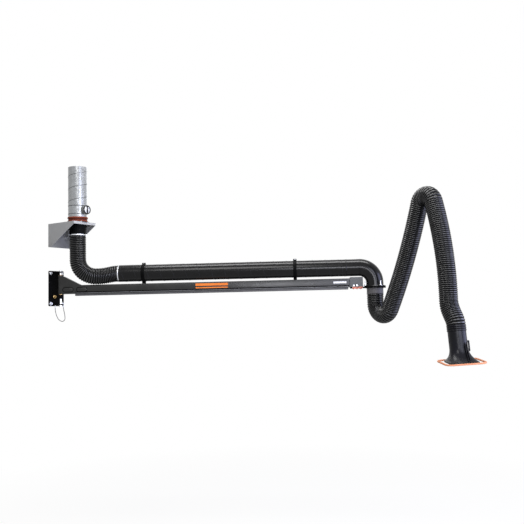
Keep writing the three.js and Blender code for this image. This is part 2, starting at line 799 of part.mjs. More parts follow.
function inletHose() {
  const onBoom = (along, aside, height) =>
    new THREE.Vector3(along, aside, height).applyAxisAngle(axisZ, radians(boomTurn)).add(hinge.position);
  const top = new THREE.Vector3(ductReach, consoleOffset, spigotEnd - seat);
  const turnTop = top.clone().setZ(ductHeight + inletRise);
  const low = beamTop + hoseRadius + inletRest;
  const lowAlong = ductStart - inletBack;
  const lowPoint = onBoom(lowAlong, inletLowAside, low);
  const ahead = onBoom(lowAlong + inletPull, 0, low).sub(lowPoint).setZ(0).normalize();
  const runStart = onBoom(ductStart - inletRun, 0, ductHeight);
  const path = routeOf(
    new THREE.LineCurve3(top, turnTop),
    new THREE.CubicBezierCurve3(
      turnTop, turnTop.clone().setZ(ductHeight + inletRise - inletPull),
      lowPoint.clone().addScaledVector(ahead, -inletPull), lowPoint),
    new THREE.CubicBezierCurve3(
      lowPoint, lowPoint.clone().addScaledVector(ahead, inletPull),
      onBoom(ductStart - inletRun - inletPull / 2, 0, ductHeight), runStart),
    new THREE.LineCurve3(runStart, onBoom(ductStart - seat, 0, ductHeight)),
  );
  add(object, "hose_inlet", ribbedHose(path, ribsPerTightRing), blackHose);
  add(riser, "hose_clamp_console", hoseClamp(spigotEnd - seat - clampWidth), zinc);
  const band = alongX(hoseClamp(ductStart - seat - clampWidth)).translate(0, 0, ductHeight);
  add(boom, "hose_clamp_duct", band, zinc);
}

inletHose();

// Hose arm: places in its upright plane, worked out from the bends and legs
const arm = place(boom, boomReach, 0, 0);
arm.rotation.z = radians(armTurn);
const swivelLow = flangeTop - lipHeight - swivelNeck;
const cuffTop = flangeTop - flangeThick - running;
const hoseTop = cuffTop - cuffHeight - seat;
const flat = (x, z) => new THREE.Vector2(x, z);
const lift = (point) => new THREE.Vector3(point.x, 0, point.y);
const polar = (centre, radius, angle) =>
  flat(centre.x + radius * Math.cos(angle), centre.y + radius * Math.sin(angle));
const rising = (lean) => flat(Math.sin(radians(lean)), Math.cos(radians(lean)));
const falling = (lean) => flat(Math.sin(radians(lean)), -Math.cos(radians(lean)));
const lowerOut = rising(lowerLean + lowerBow);
const lowerIn = rising(lowerLean - lowerBow);
const upperOut = falling(upperLean + upperBow);
const upperIn = falling(upperLean - upperBow);
const shoulderCentre = flat(shoulderBend, hoseTop - armDrop);
const shoulderStart = Math.PI;
const shoulderEnd = 2 * Math.PI - radians(lowerLean + lowerBow);
const lowerStart = polar(shoulderCentre, shoulderBend, shoulderEnd);
const lowerEnd = lowerStart.clone().addScaledVector(rising(lowerLean), lowerLeg);
const elbowFrom = Math.PI - radians(lowerLean - lowerBow);
const elbowTo = radians(upperLean + upperBow);
const elbowCentre = polar(lowerEnd, elbowBend, elbowFrom - Math.PI);
const upperStart = polar(elbowCentre, elbowBend, elbowTo);
const upperEnd = upperStart.clone().addScaledVector(falling(upperLean), upperLeg);
const shoulderPivot = polar(shoulderCentre, shoulderBend, (shoulderStart + shoulderEnd) / 2);
const elbowPivot = polar(elbowCentre, elbowBend, (elbowFrom + elbowTo) / 2);
const neckRun = falling(hoodLean);
const hoseEnd = flat(upperEnd.x + hoodShift, upperEnd.y - hoodDrop);
const neckTop = hoseEnd.clone().addScaledVector(neckRun, collarHeight + seat);
const wristPivot = upperEnd.clone().add(hoseEnd).multiplyScalar(1 / 2);

function armHoses() {
  const straight = (from, to) => new THREE.LineCurve3(lift(from), lift(to));
  const along = (point, run, distance) => point.clone().addScaledVector(run, distance);
  const bowed = (from, run, to, endRun) => {
    const pull = from.distanceTo(to) / 3;
    return new THREE.CubicBezierCurve3(
      lift(from), lift(along(from, run, pull)), lift(along(to, endRun, -pull)), lift(to));
  };
  const bendOut = along(lowerStart, lowerOut, bendTail);
  const elbowIn = along(lowerEnd, lowerIn, -bendTail);
  const elbowOut = along(upperStart, upperOut, bendTail);
  const wristIn = along(upperEnd, upperIn, -wristTail);
  const shoulder = routeOf(
    straight(flat(0, hoseTop), flat(0, shoulderCentre.y)),
    new UprightArc(shoulderCentre.x, shoulderCentre.y, shoulderBend, shoulderStart, shoulderEnd),
    straight(lowerStart, bendOut),
  );
  const elbow = routeOf(
    straight(elbowIn, lowerEnd),
    new UprightArc(elbowCentre.x, elbowCentre.y, elbowBend, elbowFrom, elbowTo),
    straight(upperStart, elbowOut),
  );
  const wrist = routeOf(
    straight(wristIn, upperEnd),
    new THREE.CubicBezierCurve3(
      lift(upperEnd), lift(along(upperEnd, upperIn, wristPull)),
      lift(along(hoseEnd, neckRun, -wristPull)), lift(hoseEnd)),
  );
  const lower = routeOf(
    bowed(along(bendOut, lowerOut, seat), lowerOut, along(elbowIn, lowerIn, -seat), lowerIn));
  const upper = routeOf(
    bowed(along(elbowOut, upperOut, seat), upperOut, along(wristIn, upperIn, -seat), upperIn));
  add(arm, "hose_shoulder", ribbedHose(shoulder, ribsPerBendRing), blackHose);
  add(arm, "hose_lower", ribbedHose(lower, ribsPerBoreRing), blackHose);
  add(arm, "hose_elbow", ribbedHose(elbow, ribsPerBendRing), blackHose);
  add(arm, "hose_upper", ribbedHose(upper, ribsPerBoreRing), blackHose);
  add(arm, "hose_wrist", ribbedHose(wrist, ribsPerBendRing), blackHose);
}

function swivel() {
  const top = flangeTop - running;
  const neck = flangeBore - running;
  const profile = [
    [swivelBore, swivelLow], [neck, swivelLow], [neck, flangeTop - lipHeight],
    [lipRadius, flangeTop - lipHeight], [lipRadius, top], [swivelBore, top], [swivelBore, swivelLow],
  ];
  add(arm, "swivel_ring", turned(profile, ductSides), zinc);
  const inner = flangeBore + seat - running;
  add(arm, "hose_cuff", ring(inner + cuffWall, inner, cuffTop - cuffHeight, cuffTop, ductSides), greyPlastic);
}

// Friction joints: one strap between two fork straps, with a lining on one side
const strapSide = lowerStrap / 2;
const forkLeft = [-strapSide - seat - forkStrap, -strapSide - seat];
const liningSide = [strapSide + seat, strapSide + seat + frictionThick];
const forkRight = [liningSide[1] + seat, liningSide[1] + seat + forkStrap];
const pair = (point) => [point.x, point.y];

function forkStraps(route, pivots) {
  return [forkLeft, forkRight].map(([low, high]) => {
    const shape = strap(route.map(pair), strapHalf);
    pivots.forEach((pivot) => addHole(shape, pivot.x, pivot.y, jointRadius + running));
    return upright(shape, low, high);
  });
}

function singleStrap(route, pivots) {
  const shape = strap(route.map(pair), strapHalf);
  pivots.forEach((pivot) => addHole(shape, pivot.x, pivot.y, jointRadius + running));
  return upright(shape, -strapSide, strapSide);
}

function frictionJoint(group, name, pivot) {
  const low = forkLeft[0] - seat;
  const high = forkRight[1] + seat;
  const profile = [
    [0, low - jointHeadHeight], [jointHead, low - jointHeadHeight], [jointHead, low], [jointRadius, low],
    [jointRadius, high], [jointHead, high], [jointHead, high + jointHeadHeight], [0, high + jointHeadHeight],
  ];
  const bolt = alongY(turned(profile, pinSides)).translate(pivot.x, 0, pivot.y);
  add(group, name + "_bolt", bolt, zinc);
  const lining = alongY(ring(frictionRadius, jointRadius + running, ...liningSide, pinSides));
  add(group, name + "_lining", lining.translate(pivot.x, 0, pivot.y), frictionLining);
}

function armStraps() {
  const spiderTop = swivelLow + spiderHeight;
  const reach = swivelBore;
  const bar = box(-spiderWidth / 2, spiderWidth / 2, -reach, reach, swivelLow, spiderTop);
  const rim = disc(fitIn(swivelBore), swivelLow, spiderTop, ductSides);
  const spider = geometryOf(solidOf(bar).intersect(solidOf(rim)));
  const hang = [flat(0, swivelLow + spiderHeight / 2), shoulderCentre.clone().setX(0), shoulderPivot];
  add(arm, "arm_yoke", join(spider, ...forkStraps(hang, [shoulderPivot])), zinc);
  frictionJoint(arm, "shoulder", shoulderPivot);
  const lower = [shoulderPivot, lowerStart, lowerEnd, elbowPivot];
  add(arm, "lower_strap", singleStrap(lower, [shoulderPivot, elbowPivot]), zinc);
  frictionJoint(arm, "elbow", elbowPivot);
  const upper = [elbowPivot, upperStart, upperEnd, wristPivot];
  const spacers = spacerPlaces.map((share) => {
    const middle = upperStart.clone().lerp(upperEnd, share);
    const half = spacerWidth / 2;
    return box(middle.x - half, middle.x + half, forkLeft[0], forkRight[1], middle.y - half, middle.y + half);
  });
  add(arm, "upper_fork", join(...forkStraps(upper, [elbowPivot, wristPivot]), ...spacers), zinc);
  frictionJoint(arm, "wrist", wristPivot);
}

armHoses();
swivel();
armStraps();

// Hood: its own frame hangs on the neck axis, with the mouth below
const hood = place(arm, neckTop.x, 0, neckTop.y);
hood.rotation.y = radians(-hoodLean);
const turnedHood = place(hood, 0, 0, 0);
turnedHood.rotation.z = radians(hoodYaw);

function hoodCollar() {
  const lip = fitIn(neckInner);
  const sleeve = fitIn(neckTopInner);
  const low = -neckShoulder - seat;
  const ribs = [1, 3, 5].flatMap((n) => {
    const middle = (n * collarHeight) / 6;
    const half = collarRibHeight / 2;
    return [
      [collarOuter, middle - half], [collarOuter + collarRib, middle - half],
      [collarOuter + collarRib, middle + half], [collarOuter, middle + half],
    ];
  });
  const profile = [
    [collarBore, -collarSleeve], [lip, -collarSleeve], [lip, low - running], [sleeve, low - running],
    [sleeve, running], [collarOuter, running], ...ribs, [collarOuter, collarHeight],
    [collarBore, collarHeight], [collarBore, -collarSleeve],
  ];
  add(hood, "hood_collar", turned(profile, ductSides), blackPlastic);
  const reach = fitIn(collarBore);
  const bar = box(-spiderWidth / 2, spiderWidth / 2, -reach, reach, 0, spiderHeight);
  const rim = disc(reach, 0, spiderHeight, ductSides);
  const spider = geometryOf(solidOf(bar).intersect(solidOf(rim)));
  const pivot = new THREE.Vector3(wristPivot.x - neckTop.x, 0, wristPivot.y - neckTop.y);
  pivot.applyAxisAngle(axisY, radians(hoodLean));
  const tongue = singleStrap([flat(pivot.x, pivot.z), flat(0, spiderHeight * 2), flat(0, spiderHeight / 2)],
    [flat(pivot.x, pivot.z)]);
  const clear = box(-neckRadius, neckRadius, -strapSide, strapSide, -neckRadius, 0);
  add(hood, "hood_tongue", join(spider, cut(tongue, clear)), zinc);
}

// A ring of the mouth or neck: a circle at power 2, squarer above
function squareRing(depth, width, power) {
  return Array.from({ length: ductSides }, (unused, k) => {
    const angle = (2 * Math.PI * k) / ductSides;
    const bend = (value) => Math.sign(value) * Math.abs(value) ** (2 / power);
    return new THREE.Vector3((depth / 2) * bend(Math.cos(angle)), (width / 2) * bend(Math.sin(angle)), 0);
  });
}

function hoodWallRings(radius, inset) {
  const mouth = squareRing(mouthDepth - 2 * inset, mouthWidth - 2 * inset, mouthPower);
  const neck = squareRing(2 * radius, 2 * radius, 2);
  const rings = [];
  for (let i = 0; i <= flareRings; i++) {
    const t = i / flareRings;
    const ringPoints = neck.map((point, k) => {
      const end = mouth[k].clone().applyAxisAngle(axisY, radians(mouthTilt));
      end.add(new THREE.Vector3(mouthShift, 0, -mouthDrop));
      const start = point.clone().setZ(-neckLength);
      const pull = point.clone().setZ(-neckLength - flareHold);
      return new THREE.QuadraticBezierCurve3(start, pull, end).getPoint(t);
    });
    rings.push(ringPoints.reverse());
  }
  const down = new THREE.Vector3(0, 0, -rimThick).applyAxisAngle(axisY, radians(mouthTilt));
  rings.push(rings[flareRings].map((point) => point.clone().add(down)));
  return rings;
}

function hoodShell() {
  const circle = (radius, height) =>
    squareRing(2 * radius, 2 * radius, 2).map((point) => point.setZ(height)).reverse();
  const outer = [circle(neckRadius, 0), ...hoodWallRings(neckRadius, 0)];
  const step = -neckShoulder;
  const inner = [
    circle(neckTopInner, 0), circle(neckTopInner, step), circle(neckInner, step),
    ...hoodWallRings(neckInner, hoodWall),
  ];
  const shaftHole = alongY(disc(hoodShaft + running, -2 * neckRadius, 2 * neckRadius, pinSides));
  add(turnedHood, "hood_shell", cut(loft(outer, inner), shaftHole.translate(0, 0, -hoodBladeDrop)), blackPlastic);
}

function hoodRim() {
  const shape = roundedRectangle(rimDepth, rimWidth, rimCorner);
  const inside = mouthDepth + 2 * seat;
  shape.holes.push(roundedRectangle(inside, mouthWidth + 2 * rimGap, rimInnerCorner, THREE.Path));
  const mouth = place(turnedHood, mouthShift, 0, -mouthDrop);
  mouth.rotation.y = radians(mouthTilt);
  add(mouth, "hood_rim", slab(shape, rimThick, cornerSteps).translate(0, 0, -rimThick), orangeRubber);
}

function hoodDamper() {
  const blade = alongX(disc(neckInner - hoodBladeGap, -bladeThick / 2, bladeThick / 2, ductSides));
  const outside = neckRadius + leverGap;
  const shaft = alongY(disc(hoodShaft, -neckInner, outside - seat, pinSides));
  add(turnedHood, "hood_blade", join(blade, shaft).translate(0, 0, -hoodBladeDrop), galvanised);
  const shape = strap([[0, 0], [0, -leverLength]], leverWidth / 2);
  const lever = upright(shape, outside, outside + leverThick).translate(0, 0, -hoodBladeDrop);
  add(turnedHood, "hood_lever", lever, blackPlastic);
}

hoodCollar();
hoodShell();
hoodRim();
hoodDamper();

export default object;
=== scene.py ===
import json
import math
import bpy
from mathutils import Matrix, Vector


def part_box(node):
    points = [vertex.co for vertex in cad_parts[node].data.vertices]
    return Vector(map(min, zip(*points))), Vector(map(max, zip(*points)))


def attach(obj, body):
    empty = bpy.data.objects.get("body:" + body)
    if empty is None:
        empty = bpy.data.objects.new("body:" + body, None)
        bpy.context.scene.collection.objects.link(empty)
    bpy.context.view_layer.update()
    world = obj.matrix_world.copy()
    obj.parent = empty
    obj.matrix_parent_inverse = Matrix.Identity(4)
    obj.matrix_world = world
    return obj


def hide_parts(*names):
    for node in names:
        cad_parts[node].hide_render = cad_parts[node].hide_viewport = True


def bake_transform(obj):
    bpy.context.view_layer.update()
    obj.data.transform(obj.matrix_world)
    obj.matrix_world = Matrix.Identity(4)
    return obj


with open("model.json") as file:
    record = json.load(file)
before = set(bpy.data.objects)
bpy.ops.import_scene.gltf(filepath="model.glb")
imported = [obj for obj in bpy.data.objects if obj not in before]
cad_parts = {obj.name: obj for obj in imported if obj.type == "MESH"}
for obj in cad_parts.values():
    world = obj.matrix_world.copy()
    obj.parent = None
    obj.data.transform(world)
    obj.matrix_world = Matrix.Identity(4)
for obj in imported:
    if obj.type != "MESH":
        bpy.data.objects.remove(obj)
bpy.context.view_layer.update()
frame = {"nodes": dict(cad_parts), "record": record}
print("stage: frame loaded,", len(frame["nodes"]), "nodes")
scene = bpy.context.scene
scene.view_settings.view_transform = "Standard"
weld = 1e-5  # corners nearer than this are one


# a dictionary whose entries are read as attributes
class Sizes(dict):
    __getattr__ = dict.__getitem__


# places and turns
def shift(x, y, z):
    return Matrix.Translation((x, y, z))


def spin(angle, axis):
    return Matrix.Rotation(angle, 4, axis)


def axisTurn(axis):
    return Vector((0, 0, 1)).rotation_difference(Vector(axis)).to_matrix().to_4x4()


def standing(place, *axes):
    return Matrix.Translation(place) @ Matrix(axes).transposed().to_4x4()


def linked(name, data):
    obj = bpy.data.objects.new(name, data)
    scene.collection.objects.link(obj)
    return obj


# camera, fitted to the photograph
cameraSet = Sizes(
    place=(6.5449, -5.3286, -0.3626),
    look=(-0.57856, 0.81228, 0.07397),
    up=(0.06058, -0.04764, 0.99703),
    lens=51.63,
    sensor=36.0,
)


def addCamera(spec):
    data = bpy.data.cameras.new("photo camera")
    data.lens, data.sensor_width = spec.lens, spec.sensor
    scene.camera = linked("photo camera", data)
    look = Vector(spec.look).normalized()
    up = Vector(spec.up)
    up = (up - look * up.dot(look)).normalized()
    scene.camera.matrix_world = standing(spec.place, look.cross(up), up, -look)


addCamera(cameraSet)


# hand tools
def switchTo(mode):
    bpy.ops.object.mode_set(mode=mode)


def clearSelection():
    if bpy.context.object is not None and bpy.context.object.mode != "OBJECT":
        switchTo("OBJECT")
    bpy.ops.object.select_all(action="DESELECT")


def takeUp(obj):
    clearSelection()
    obj.select_set(True)
    bpy.context.view_layer.objects.active = obj
    return obj


def called(name):
    obj = bpy.context.object
    obj.name = obj.data.name = name
    return takeUp(obj)


def editAll(kind="VERT"):
    switchTo("EDIT")
    bpy.ops.mesh.select_mode(type=kind)
    bpy.ops.mesh.select_all(action="SELECT")


def extrude(x, y, z):
    bpy.ops.mesh.extrude_region_move(TRANSFORM_OT_translate={"value": (x, y, z)})


def applyModifier(obj, kind, **settings):
    takeUp(obj)
    modifier = obj.modifiers.new(kind, kind)
    for key, value in settings.items():
        setattr(modifier, key, value)
    bpy.ops.object.modifier_apply(modifier=modifier.name)


def roundEdges(obj, width, segments=2, **settings):
    applyModifier(obj, "BEVEL", width=width, segments=segments, limit_method="ANGLE", **settings)


def thicken(obj, wall):
    applyModifier(obj, "SOLIDIFY", thickness=wall, offset=-1.0)


def seatIn(obj, place):
    takeUp(obj)
    obj.matrix_world = place @ obj.matrix_world
    bpy.ops.object.transform_apply(location=True, rotation=True, scale=True)
    return obj


def cleanShell(obj):
    takeUp(obj)
    editAll()
    bpy.ops.mesh.remove_doubles(threshold=weld)
    bpy.ops.mesh.normals_make_consistent(inside=False)
    switchTo("OBJECT")
    return obj


def smooth(obj, degrees=35):
    takeUp(obj)
    bpy.ops.object.shade_smooth_by_angle(angle=math.radians(degrees))
    return obj


def joinAll(name, pieces):
    clearSelection()
    for piece in pieces:
        piece.select_set(True)
    bpy.context.view_layer.objects.active = pieces[0]
    if len(pieces) > 1:
        bpy.ops.object.join()
    return called(name)


# a profile in X and Z, drawn point by point from one merged corner
def traceProfile(points):
    clearSelection()
    bpy.ops.mesh.primitive_plane_add(size=0.01)
    editAll()
    bpy.ops.mesh.merge(type="CENTER")
    bpy.ops.transform.translate(value=(points[0][0], 0, points[0][1]))
    for before, after in zip(points, points[1:]):
        step = (after[0] - before[0], 0, after[1] - before[1])
        bpy.ops.mesh.extrude_vertices_move(TRANSFORM_OT_translate={"value": step})
    switchTo("OBJECT")
    return bpy.context.object


# a profile turned about Z, rising with each turn where it is a spiral
def lathe(name, points, steps=72, rise=0.0, turns=1):
    applyModifier(
        traceProfile(points), "SCREW", angle=2 * math.pi, screw_offset=rise, iterations=turns,
        steps=steps, render_steps=steps, use_merge_vertices=True, merge_threshold=weld,
    )
    return cleanShell(called(name))


# half profile of a turned post with a broken top edge
def postProfile(radius, low, high, edge, drop=None):
    return [(0, low), (radius, low), (radius, high - (drop or edge)), (radius - edge, high), (0, high)]


# a closed ring of box section with its outer edges broken
def bandRing(name, inner, outer, low, high, edge=0.001):
    return smooth(lathe(name, [
        (inner, low), (outer - edge, low), (outer, low + edge), (outer, high - edge),
        (outer - edge, high), (inner, high), (inner, low),
    ]))


def roundBar(name, size, place, bevel, segments=2):
    clearSelection()
    bpy.ops.mesh.primitive_cube_add(size=1, location=place)
    obj = called(name)
    obj.scale = size
    bpy.ops.object.transform_apply(location=True, rotation=True, scale=True)
    roundEdges(obj, bevel, segments)
    return obj


# a flat plate: its outline in X and Z filled, thickened about Y = 0 and its edges rounded
def outlinePlate(name, points, thick, bevel, segments=2):
    takeUp(traceProfile([*points, points[0]]))
    editAll()
    bpy.ops.mesh.remove_doubles(threshold=weld)
    bpy.ops.mesh.edge_face_add()
    extrude(0, thick, 0)
    switchTo("OBJECT")
    plate = seatIn(cleanShell(called(name)), shift(0, -thick / 2, 0))
    roundEdges(plate, bevel, segments)
    return smooth(plate, 30)


# an open tube along Z, one ring of corners at each stop
def openTube(name, sides, radius, stops):
    clearSelection()
    bpy.ops.mesh.primitive_circle_add(
        vertices=sides, radius=radius, fill_type="NOTHING", location=(0, 0, stops[0]))
    bpy.ops.object.transform_apply(location=True)
    editAll("EDGE")
    for before, after in zip(stops, stops[1:]):
        extrude(0, 0, after - before)
    switchTo("OBJECT")
    return called(name)


def obround(length, height, centre=(0, 0), steps=10):
    points = []
    for side, start in ((1, -math.pi / 2), (-1, math.pi / 2)):
        for i in range(steps + 1):
            angle = start + math.pi * i / steps
            points.append((centre[0] + side * (length - height) / 2 + height / 2 * math.cos(angle),
                           centre[1] + height / 2 * math.sin(angle)))
    return points


# a hexagon bolt head on a washer, one unit across the flats, standing on the origin along Z
boltSet = Sizes(
    washer=1.05, washerThick=0.2, lip=0.04, steps=24, headHeight=0.62, edge=0.03,
    crown=((0.07, 0.04), (0.1, -0.05)),  # inset and rise of the chamfer, then of the dish
)


def unitBolt(spec):
    thick, height = spec.washerThick, spec.headHeight
    washer = lathe("washer", postProfile(spec.washer, 0, thick, spec.lip), spec.steps)
    clearSelection()
    bpy.ops.mesh.primitive_cylinder_add(
        vertices=6, radius=1 / math.sqrt(3), depth=height, location=(0, 0, thick + height / 2))
    head = called("head")
    bpy.ops.object.transform_apply(location=True)
    editAll("FACE")
    bpy.ops.mesh.select_all(action="DESELECT")
    switchTo("OBJECT")
    for face in head.data.polygons:
        face.select = face.normal.z > 0.9
    switchTo("EDIT")
    for inset, rise in spec.crown:
        bpy.ops.mesh.inset(thickness=inset)
        bpy.ops.transform.translate(value=(0, 0, rise))
    switchTo("OBJECT")
    roundEdges(head, spec.edge)
    return smooth(joinAll("bolt_pattern", [washer, head]), 30)


boltPattern = unitBolt(boltSet)


def boltAt(place, axis, across):
    bolt = linked("bolt", boltPattern.data.copy())
    bolt.data.transform(Matrix.Translation(place) @ axisTurn(axis) @ Matrix.Scale(across, 4))
    return bolt


# finishes
class Value:
    def __init__(self, finish, socket):
        self.finish, self.socket = finish, socket

    def math(self, operation, first, second):
        return self.finish.make("ShaderNodeMath", {"operation": operation}, {0: first, 1: second})

    def __add__(self, other):
        return self.math("ADD", self, other)

    def __radd__(self, other):
        return self.math("ADD", other, self)

    def __rsub__(self, other):
        return self.math("SUBTRACT", other, self)

    def __mul__(self, other):
        return self.math("MULTIPLY", self, other)

    def sine(self):
        return self.math("SINE", self, 0.0)


class Finish:
    def __init__(self, name, store=bpy.data.materials):
        self.owner = store.new(name)
        self.owner.use_nodes = True
        self.tree = self.owner.node_tree
        self.tree.nodes.clear()

    def make(self, kind, settings, sockets, output=0):
        node = self.tree.nodes.new(kind)
        for key, value in settings.items():
            setattr(node, key, value)
        for key, value in sockets.items():
            if isinstance(value, Value):
                self.tree.links.new(value.socket, node.inputs[key])
            elif value is not None:
                node.inputs[key].default_value = value
        return Value(self, node.outputs[output])

    def end(self, shader, kind="ShaderNodeOutputMaterial"):
        out = self.tree.nodes.new(kind)
        self.tree.links.new(shader.socket, out.inputs["Surface"])
        return self.owner

    def surface(self, sockets):
        return self.end(self.make("ShaderNodeBsdfPrincipled", {}, sockets))

    def place(self):
        return self.make("ShaderNodeTexCoord", {}, {}, "Object")

    def stretched(self, scale, turn=(0, 0, 0)):
        return self.make("ShaderNodeMapping", {}, {
            "Vector": self.place(), "Scale": scale, "Rotation": turn})

    def noise(self, scale, detail=4.0, rough=0.55, vector=None):
        return self.make("ShaderNodeTexNoise", {}, {
            "Vector": vector or self.place(), "Scale": scale, "Detail": detail, "Roughness": rough})

    def cells(self, scale, output="Color"):
        return self.make("ShaderNodeTexVoronoi", {}, {"Vector": self.place(), "Scale": scale}, output)

    def between(self, value, low, high, lowest=0.0, highest=1.0):
        return self.make("ShaderNodeMapRange", {}, {
            "Value": value, 1: low, 2: high, 3: lowest, 4: highest})

    def mix(self, factor, first, second):
        first, second = (c if isinstance(c, Value) else (*c, 1.0) for c in (first, second))
        return self.make("ShaderNodeMix", {"data_type": "RGBA"}, {0: factor, 6: first, 7: second}, 2)

    def attribute(self, name):
        return self.make("ShaderNodeAttribute", {"attribute_name": name}, {}, "Fac")

    def bump(self, height, strength, distance):
        return self.make("ShaderNodeBump", {}, {
            "Height": height, "Strength": strength, "Distance": distance})

    # 1 for rays that meet the background straight, in metal or through glass
    def seen(self):
        path = self.tree.nodes.new("ShaderNodeLightPath")
        straight, glossy, clear = (
            Value(self, path.outputs["Is %s Ray" % kind]) for kind in ("Camera", "Glossy", "Transmission"))
        return straight + glossy + clear


# painted sheet: orange-peel skin, rubbed patches and scratches
def paintedSheet(name, colour, rubbed, roughness, specular):
    finish = Finish(name)
    cloud = finish.noise(3.2, 5)
    patches = finish.between(finish.noise(14, 6, 0.65), 0.52, 0.72)
    scratches = finish.noise(60, 3, 0.5, finish.stretched((0.12, 1.0, 1.4), (0.3, 0.1, 0.5)))
    scratched = finish.between(scratches, 0.66, 0.72, 0.0, 0.35)
    tone = finish.mix(finish.between(cloud, 0.3, 0.75), colour, [c * 1.35 for c in colour])
    rough = finish.between(cloud, 0.3, 0.75, roughness - 0.06, roughness + 0.08)
    return finish.surface({
        "Base Color": finish.mix(patches * 0.3 + scratched, tone, rubbed),
        "Roughness": rough + scratched * 0.2,
        "Metallic": 0.0,
        "Specular IOR Level": specular,
        "Normal": finish.bump(finish.noise(700, 2), 0.12, 0.0006),
    })


# hot-dip galvanised sheet: spangle cells, drawn streaks and a dark lock seam
def galvanisedSheet(name, bright, dull, smudged, seamed):
    finish = Finish(name)
    grey = finish.make("ShaderNodeRGBToBW", {}, {"Color": finish.cells(70)})
    streak = finish.noise(9, 4, 0.6, finish.stretched((6, 6, 0.35)))
    tone = finish.mix(finish.between(grey * 0.25 + streak * 0.75, 0.25, 0.75), dull, bright)
    smudge = finish.between(finish.noise(6, 5), 0.55, 0.8, 0.0, 0.25)
    tone = finish.mix(smudge, tone, smudged)
    return finish.surface({
        "Base Color": finish.mix(finish.attribute("seam") * 0.8, tone, seamed),
        "Metallic": 0.6,
        "Roughness": finish.between(grey, 0.2, 0.8, 0.2, 0.28) + smudge * 0.2,
        "Specular IOR Level": 0.5,
        "Normal": finish.bump(streak + grey * 0.1, 0.03, 0.002),
    })


# bright or tinted plate on turned steel
def platedSteel(name, colour, shade, roughness=0.3):
    finish = Finish(name)
    cloud = finish.noise(28, 5, 0.6)
    lines = finish.noise(260, 2, 0.5, finish.stretched((1, 1, 0.08)))
    return finish.surface({
        "Base Color": finish.mix(finish.between(cloud, 0.35, 0.7), colour, shade),
        "Metallic": 1.0,
        "Roughness": finish.between(cloud, 0.3, 0.7, roughness - 0.07, roughness + 0.1),
        "Normal": finish.bump(lines, 0.06, 0.0008),
    })


# gloss black duct: shallow waves of rolled sheet, wiped dust, and a paler lock seam that is a painted highlight
def glossDuct(name, colour, dusty, seamed):
    finish = Finish(name)
    wipe = finish.noise(11, 6, 0.65, finish.stretched((1, 2.5, 2.5)))
    tone = finish.mix(finish.between(wipe, 0.5, 0.8, 0.0, 0.3), colour, dusty)
    return finish.surface({
        # the lock seam is painted paler than the sheet, a painted highlight on its raised edge
        "Base Color": finish.mix(finish.attribute("seam") * 0.5, tone, seamed),
        "Roughness": finish.between(wipe, 0.3, 0.75, 0.16, 0.25),
        "Specular IOR Level": 0.18,
        "Normal": finish.bump(finish.noise(7, 2), 0.04, 0.003),
    })


# coated cloth over a wire helix; the rib attribute is 1 on a crest, whose colour is painted paler, partly as wear
# and partly as a painted highlight
def hoseCloth(name, colour, crestWearAndSheen, grimy):
    finish = Finish(name)
    rub = finish.between(finish.noise(18, 6, 0.65), 0.35, 0.7)
    crest = finish.between(finish.attribute("rib"), 0.4, 0.9) * (0.55 + rub * 0.45)
    grime = finish.between(finish.noise(4, 5), 0.5, 0.8, 0.0, 0.15)
    weave = finish.cells(900, "Distance") * 0.5 + finish.noise(420, 3) * 0.5
    return finish.surface({
        # crests turn paler: part wear, part painted highlight
        "Base Color": finish.mix(grime, finish.mix(crest * 0.8, colour, crestWearAndSheen), grimy),
        "Roughness": 0.6,
        "Specular IOR Level": 0.05,
        "Coat Weight": crest,
        "Coat Roughness": 0.16,
        "Normal": finish.bump(weave, 0.12, 0.0007),
    })


# moulded plastic: leather-fine grain, polished where hands rub
def mouldedPlastic(name, colour, polished, roughness, specular=0.25):
    finish = Finish(name)
    rub = finish.between(finish.noise(9, 5, 0.6), 0.4, 0.75)
    flow = finish.noise(3, 3, 0.5, finish.stretched((1, 1, 0.3)))
    tone = finish.mix(rub * 0.5, colour, polished)
    return finish.surface({
        "Base Color": finish.mix(
            finish.between(flow, 0.4, 0.7, 0.0, 0.25), tone, [c * 0.7 for c in colour]),
        "Roughness": finish.between(rub, 0.0, 1.0, roughness + 0.05, roughness - 0.1),
        "Specular IOR Level": specular,
        "Normal": finish.bump(finish.cells(650, "Distance"), 0.1, 0.0005),
    })


# matt rubber: bloom, soot and fine pits
def mattRubber(name, colour, bloom):
    finish = Finish(name)
    cloud = finish.between(finish.noise(10, 6, 0.65), 0.35, 0.75)
    soot = finish.between(finish.noise(5, 6, 0.7), 0.55, 0.8, 0.0, 0.35)
    tone = finish.mix(cloud, colour, bloom)
    return finish.surface({
        "Base Color": finish.mix(soot, tone, [c * 0.45 for c in colour]),
        "Roughness": finish.between(cloud, 0.0, 1.0, 0.5, 0.68),
        "Specular IOR Level": 0.12,
        "Normal": finish.bump(finish.noise(380, 4, 0.6), 0.14, 0.0006),
    })


# twisted wire rope, along its own UV map
def wireRope(name, dark, light, turns=62.0, strands=6.0):
    finish = Finish(name)
    parts = finish.tree.nodes.new("ShaderNodeSeparateXYZ")
    finish.tree.links.new(finish.make("ShaderNodeUVMap", {}, {}).socket, parts.inputs[0])
    along, around = Value(finish, parts.outputs[0]), Value(finish, parts.outputs[1])
    lay = ((along * turns + around) * (strands * 2 * math.pi)).sine() * 0.5 + 0.5
    return finish.surface({
        "Base Color": finish.mix(lay, dark, light),
        "Metallic": 1.0,
        "Roughness": finish.between(lay, 0.0, 1.0, 0.55, 0.28),
        "Normal": finish.bump(lay, 0.7, 0.0008),
    })


